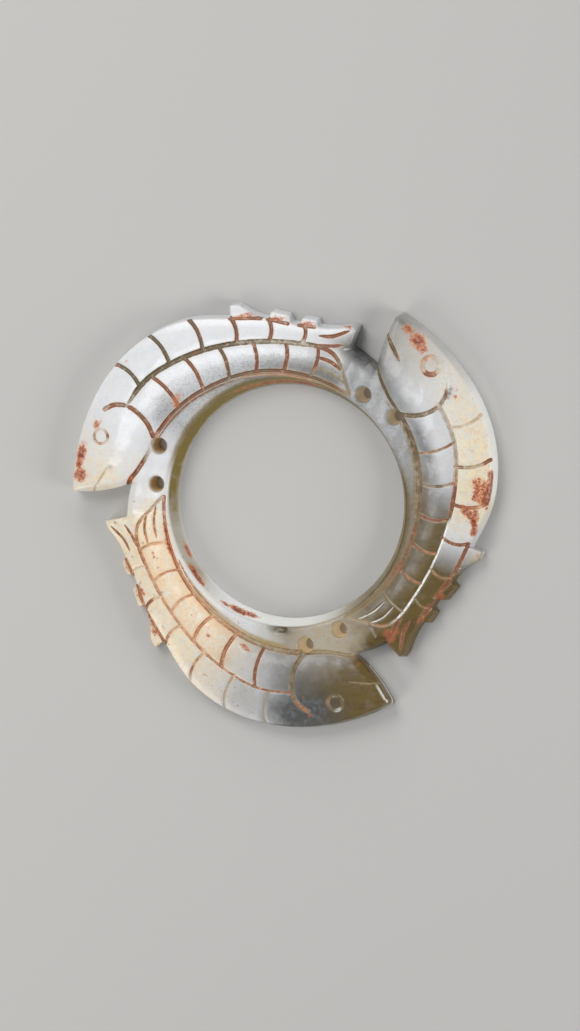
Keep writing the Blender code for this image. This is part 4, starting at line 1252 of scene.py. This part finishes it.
class StoneBoard(Board):
    """The jade's tree, with the clouds and tones that its colour, its stains and its gloss share."""

    def __init__(self, tree):
        super().__init__(tree)
        self.place = self.add("ShaderNodeTexCoord", output="Object")
        self.broad = self.cloud(130, 3.0) - 0.5
        self.drift = self.cloud(420, 4.0, 0.6) - 0.5
        self.fine = self.cloud(1400, 3.0, 0.6)
        self.grain = self.cloud(3600, 2.0, 0.6)
        self.near = self.noted("nearness") + (self.fine - 0.5) * 0.45 + self.drift * 0.35
        olive = self.noted("olive") * (1.04 + self.drift * 0.3)
        self.olive = (olive + (self.broad + self.drift) * 0.06).held()
        specks = self.grain.eased(0.38, 0.68) * (0.2 + self.fine.eased(0.40, 0.62) * 0.8)
        self.specks = specks * self.noted("specks")

    def cloud(self, scale, detail=2.0, roughness=0.5, stretch=0.0):
        inputs = {"Vector": self.place, "Scale": scale, "Detail": detail, "Roughness": roughness,
                  "Distortion": stretch}
        return self.add("ShaderNodeTexNoise", {}, inputs)

    def noted(self, name):
        """A value noted on the ring's points."""
        return self.add("ShaderNodeAttribute", {"attribute_name": name}, output="Fac")

    def layered(self, base, *layers):
        """Colours laid over a first one, each with its share. Plain colours are three numbers."""
        settings = {"data_type": "RGBA", "clamp_factor": True}
        for layer, share in layers:
            base, layer = (part if isinstance(part, Wire) else (*part, 1.0) for part in (base, layer))
            base = self.add("ShaderNodeMix", settings, {0: share, 6: base, 7: layer}, 2)
        return base


def clouded_stone(board):
    """The stone without its stains: white and cream clouds, then olive, grey, gold, amber, painted highlights
    and specks.
    """
    broad, drift, fine = board.broad, board.drift, board.fine
    cream = board.noted("cream")
    creamy = (cream * (1 + drift * 1.3 + (fine - 0.5) * 0.9) + broad * 0.3 + drift * 0.25).held()
    grey = board.noted("grey") * (1 + broad * 0.5 + drift * 0.6)
    grey = (grey + (fine + board.grain - 1) * 0.14).held()
    blush = board.cloud(900, 2.0, 0.5, 0.3)
    bluish = board.cloud(760, 2.0, 0.5, 0.3)
    warmth = 0.36 + board.near.eased(-2.2, 0.2) * 0.5 + drift * 1.4 + (fine - 0.5) * 1.5
    drawn_out = {0: board.place, 1: (0.22, 1.0, 1.0)}
    along_x = board.add("ShaderNodeVectorMath", {"operation": "MULTIPLY"}, drawn_out)
    streaks = board.add("ShaderNodeTexNoise", {}, {"Vector": along_x, "Scale": 760, "Detail": 3.0})
    brownish = board.layered(OLIVE_JADE, (BROWN_JADE, streaks.eased(0.48, 0.66) * 0.55))
    mottle = (fine + drift).eased(0.25, 0.8)
    flecks = board.cloud(1150, 1.0).eased(0.70, 0.76) * board.noted("flecks")
    return board.layered(
        WHITE_JADE,
        (CREAM_JADE, creamy),
        (BLUSH_JADE, blush.eased(0.48, 0.62) * (0.08 + cream * 0.65)),
        (BLUE_JADE, bluish.eased(0.50, 0.64) * (0.12 + cream * 0.28)),
        (PEACH_JADE, (board.noted("warm") * warmth).held()),
        (brownish, board.olive),
        (GREY_JADE, grey),
        (SLATE_JADE, bluish.eased(0.40, 0.72) * grey.eased(0.55, 0.95) * 0.5),
        (GOLD_JADE, (board.noted("gold") * (1.06 + drift * 0.8)).held()),
        (AMBER_JADE, (board.noted("amber") * (0.9 + drift * 0.9)).held()),
        # The painted highlights
        (PAINTED_HIGHLIGHT, board.noted("pale")),
        (GREY_JADE, (board.specks * 0.5 + (1 - mottle) * 0.09).held()),
        (RED_STAIN, flecks * 0.6),
    )


def stained_lines(board, stone):
    """The stone with the stains of its cut lines and their painted glints, and how far the stains cover it.
    """
    near, warm, rust = board.near, board.noted("warm"), board.noted("line rust")
    within = near.eased(-0.12, 0.12)
    middle = near.eased(0.25, 0.8)
    patchy = 0.58 + board.cloud(800, 4.0, 0.7, 0.4).eased(0.34, 0.58) * 0.5
    strength = (board.noted("line stain") * patchy).held()
    # Where a line's rust is below 0, the line is painted pale: a painted glint, not a stain
    painted_glint = (0 - rust).held()
    kept = 1 - painted_glint
    rusty = (rust + board.drift * 1.2).held()
    line_colour = board.layered(OLIVE_STAIN, (ORANGE_STAIN, rusty.eased(0.05, 0.55)),
                                (RED_STAIN, rusty.eased(0.55, 1.0)), (FRESH_STAIN, warm * 0.62))
    lip_colour = board.layered(TAN_STAIN, (PEACH_STAIN, rusty.eased(0.2, 0.6)))
    floor_colour = board.layered(TAN_STAIN, (PEACH_STAIN, rusty.eased(0.3, 0.6)),
                                 (FLOOR_STAIN, strength.eased(0.4, 0.8) * (1 - warm * 0.8)))
    deep = within * strength.eased(0.1, 0.85) * (1 - middle * (0.45 + warm * 0.25)) * kept
    stone = board.layered(
        stone,
        (lip_colour, near.eased(-1.2, 0.1) * 0.24 * strength * kept),
        (floor_colour, within * (strength * 1.4).held() * kept * 0.9),
        (line_colour, (deep * 1.05).held()),
        # The lines' painted glints
        (PAINTED_HIGHLIGHT, (within * strength * painted_glint * 1.1).held()),
    )
    return stone, within * strength * kept


def rusted_patches(board, stone):
    """The stone with its blots of rust, and how far they cover it."""
    rust, fine = board.noted("rust"), board.fine
    ragged = rust + (board.cloud(1700, 5.0, 0.75, 1.4) - 0.5) * 2.1
    blot = ragged.eased(0.38, 0.60) * rust.eased(0.05, 0.3)
    flecked = 0.72 + fine.eased(0.38, 0.58) * 0.33
    redder = (ragged + (fine - 0.5) * 0.9).eased(0.55, 1.05)
    blot_colour = board.layered(BLOT_STAIN, (RED_STAIN, redder), (ORANGE_STAIN, board.olive * 0.6))
    halo = rust.eased(0.25, 0.7) * (0.42 - board.olive * 0.3)
    return board.layered(stone, (PEACH_STAIN, halo), (blot_colour, (blot * flecked).held())), blot


def jade():
    """Polished jade: clouded, speckled, stained in its lines and in patches, with painted highlights and a
    painted glow in its holes.
    """
    material = bpy.data.materials.new("polished jade")
    material.use_nodes = True
    tree = material.node_tree
    tree.nodes.clear()
    board = StoneBoard(tree)
    stone, stained = stained_lines(board, clouded_stone(board))
    stone, blotted = rusted_patches(board, stone)
    dulled = (stained + blotted * 0.5).held()
    gloss = 0.33 + (board.fine - 0.5) * 0.2 + board.specks * 0.2 + dulled * 0.25
    coat = 0.3 - dulled * 0.25 - board.noted("gold") * 0.3 - board.olive * 0.16
    relief = board.fine * 0.6 + board.grain * 0.5 - board.specks * 0.8
    bump = {"Strength": 0.6, "Distance": 0.03 * MM, "Height": relief}
    shader = board.add("ShaderNodeBsdfPrincipled", {}, {
        "Base Color": stone,
        "Roughness": gloss.held(),
        "IOR": 1.61,
        "Normal": board.add("ShaderNodeBump", {}, bump),
        "Subsurface Weight": 0.16,
        "Subsurface Radius": (1.0, 0.85, 0.55),
        "Subsurface Scale": 2.2 * MM,
        "Specular IOR Level": 0.42,
        "Coat Weight": coat.held(),
        "Coat Roughness": 0.08,
        # A painted glow: the holes' walls emit light in place of the light that comes through the stone
        "Emission Color": board.layered((0, 0, 0), (HOLE_LIGHT, board.noted("glow"))),
        "Emission Strength": 1.0,
    })
    output = tree.nodes.new("ShaderNodeOutputMaterial")
    tree.links.new(shader.socket, output.inputs["Surface"])
    return material


def placed(name, data):
    """A new object in the scene."""
    item = bpy.data.objects.new(name, data)
    bpy.context.scene.collection.objects.link(item)
    return item


def line_object(name, strokes):
    """The strokes of one kind as a mesh of edges, with their reach and stains noted on its points."""
    starts = np.cumsum([0] + [len(points) for points, *rest in strokes])
    points = np.concatenate([points for points, *rest in strokes])
    edges = [(start + i, start + i + 1) for start, (line, *rest) in zip(starts, strokes)
             for i in range(len(line) - 1)]
    mesh = bpy.data.meshes.new(name)
    mesh.from_pydata(np.column_stack((points, np.zeros(len(points)))), edges, [])
    for k, value_name in enumerate(("reach", "cut", "line rust", "line stain")):
        set_values(mesh, value_name, np.concatenate([line[k + 1] for line in strokes]))
    return placed(name, mesh)


def carve(ring, tree, name, strokes, sizes):
    """Adds the cutting of one kind of line to the ring."""
    lines = line_object(name, strokes)
    modifier = ring.modifiers.new(name, "NODES")
    modifier.node_group = tree
    values = {"Lines": lines, **sizes}
    for item in tree.interface.items_tree:
        if item.in_out == "INPUT" and item.name in values:
            modifier[item.identifier] = values[item.name]
    return lines


def made_final(ring):
    """The ring as a plain mesh, with its modifiers done."""
    bpy.context.view_layer.update()
    evaluated = ring.evaluated_get(bpy.context.evaluated_depsgraph_get())
    mesh = bpy.data.meshes.new_from_object(evaluated)
    ring.modifiers.clear()
    ring.data = mesh
    return mesh


def jade_ring():
    """The carved and painted ring, centred on its bounding box, and where that puts the bore's axis."""
    edges = [edge(number) for number in range(len(FISH)) for edge in (back_edge, worked_edge)]
    sharp = np.concatenate(edges)
    outline = even_loop(soften_corners(even_loop(sharp, SOFTEN_SPACING)), EDGE_SPACING)
    kinds = line_kinds()
    mesh = ring_shell(outline, kinds).mesh("jade_ring")
    for name, value in (("nearness", -9.0), ("cut depth", 0.0), ("line rust", 0.0), ("line stain", 0.0)):
        set_values(mesh, name, np.full(len(mesh.vertices), value))
    ring = placed("jade_ring", mesh)
    finish = jade()
    tree = carving_tree()
    drawn = []
    for name, strokes, width, depth, room in kinds:
        sizes = {"Line Width": width, "Line Depth": depth, "Floor Flatness": FLOOR_FLATNESS,
                 "Lip Softness": LIP_SOFTNESS, "Finish": finish}
        drawn.append(carve(ring, tree, name, strokes, sizes))
    mesh = made_final(ring)
    for lines in drawn:
        bpy.data.objects.remove(lines)
    paint_tones(mesh, outline)
    bore_axis = Vector((*(-(sharp.min(axis=0) + sharp.max(axis=0)) / 2), 0))
    mesh.transform(Matrix.Translation(bore_axis))
    mesh.shade_smooth()
    return ring, bore_axis


ring, bore_axis = jade_ring()
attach(ring, "root")
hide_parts("three_fish_ring")

# The camera stands as the photograph's did, far off and a little to the right and the top
PICTURE_WIDTH = 580
PICTURE_HEIGHT = 1031
PIXEL = 0.23077 * MM
TILT = math.acos(0.948)
TILT_DIRECTION = math.radians(18.9)
BORE_AXIS_PIXEL = (292.63, 500.79)
CAMERA_DISTANCE = 0.9

# The studio
FLOOR_HALF = 1.5
SURROUND_COLOUR = (0.93, 0.96, 1.0)
SURROUND_STRENGTH = 0.28
WARM_WHITE = (1.0, 0.99, 0.97)


def photo_camera(bore_axis):
    """The camera, with the bore's axis on its pixel, and the direction back to it."""
    turned = Quaternion((-math.sin(TILT_DIRECTION), math.cos(TILT_DIRECTION), 0), TILT)
    right, up, back = (turned @ Vector(axis) for axis in ((1, 0, 0), (0, 1, 0), (0, 0, 1)))
    aim = bore_axis + right * (PICTURE_WIDTH / 2 - BORE_AXIS_PIXEL[0]) * PIXEL
    aim -= up * (PICTURE_HEIGHT / 2 - BORE_AXIS_PIXEL[1]) * PIXEL
    lens = bpy.data.cameras.new("camera")
    lens.type = "ORTHO"
    lens.ortho_scale = PICTURE_HEIGHT * PIXEL
    lens.clip_start = 0.01
    camera = placed("camera", lens)
    camera.location = aim + back * CAMERA_DISTANCE
    camera.rotation_mode = "QUATERNION"
    camera.rotation_quaternion = turned
    bpy.context.scene.camera = camera
    return back


def soft_light(name, target, away, distance, size, watts, colour):
    """A square soft box at a distance from a target, facing it."""
    light = bpy.data.lights.new(name, "AREA")
    light.shape = "SQUARE"
    light.size = size
    light.energy = watts
    light.color = colour
    box = placed(name, light)
    direction = Vector(away).normalized()
    box.location = Vector(target) + direction * distance
    box.rotation_mode = "QUATERNION"
    box.rotation_quaternion = direction.to_track_quat("Z", "Y")


def pale_floor():
    """A pale, dull floor under the ring."""
    mesh = bpy.data.meshes.new("floor")
    corners = [(x * FLOOR_HALF, y * FLOOR_HALF, 0) for x, y in ((-1, -1), (1, -1), (1, 1), (-1, 1))]
    mesh.from_pydata(corners, [], [(0, 1, 2, 3)])
    floor = placed("floor", mesh)
    paper = bpy.data.materials.new("pale paper")
    paper.use_nodes = True
    inputs = paper.node_tree.nodes["Principled BSDF"].inputs
    inputs["Base Color"].default_value = (*FLOOR_COLOUR, 1)
    inputs["Roughness"].default_value = 0.9
    inputs["Specular IOR Level"].default_value = 0.1
    mesh.materials.append(paper)


def studio_light(back):
    """An even grey surround and soft boxes. The first box stands where the ring mirrors it to the camera."""
    world = bpy.data.worlds.new("surround")
    bpy.context.scene.world = world
    world.use_nodes = True
    inputs = world.node_tree.nodes["Background"].inputs
    inputs["Color"].default_value = (*SURROUND_COLOUR, 1)
    inputs["Strength"].default_value = SURROUND_STRENGTH
    mirror = (-back.x, -back.y, back.z)
    soft_light("sheen box", (-0.012, 0.043, 0), mirror, 0.36, 0.065, 0.12, (0.95, 0.96, 1.0))
    soft_light("key box", (0, 0, 0), (-0.36, 0.60, 0.75), 0.7, 0.36, 2.15, WARM_WHITE)
    soft_light("side box", (0, 0, 0), (0.90, -0.22, 0.36), 0.7, 0.3, 2.8, (1.0, 1.0, 1.0))
    soft_light("far box", (0, 0, 0), (-0.10, 0.94, 0.32), 0.7, 0.26, 0.9, WARM_WHITE)
    soft_light("low box", (-0.02, -0.02, 0), (-0.62, -0.55, 0.56), 0.6, 0.3, 1.35, (1.0, 0.98, 0.95))
    bpy.context.scene.view_settings.view_transform = "Standard"


pale_floor()
studio_light(photo_camera(bore_axis))
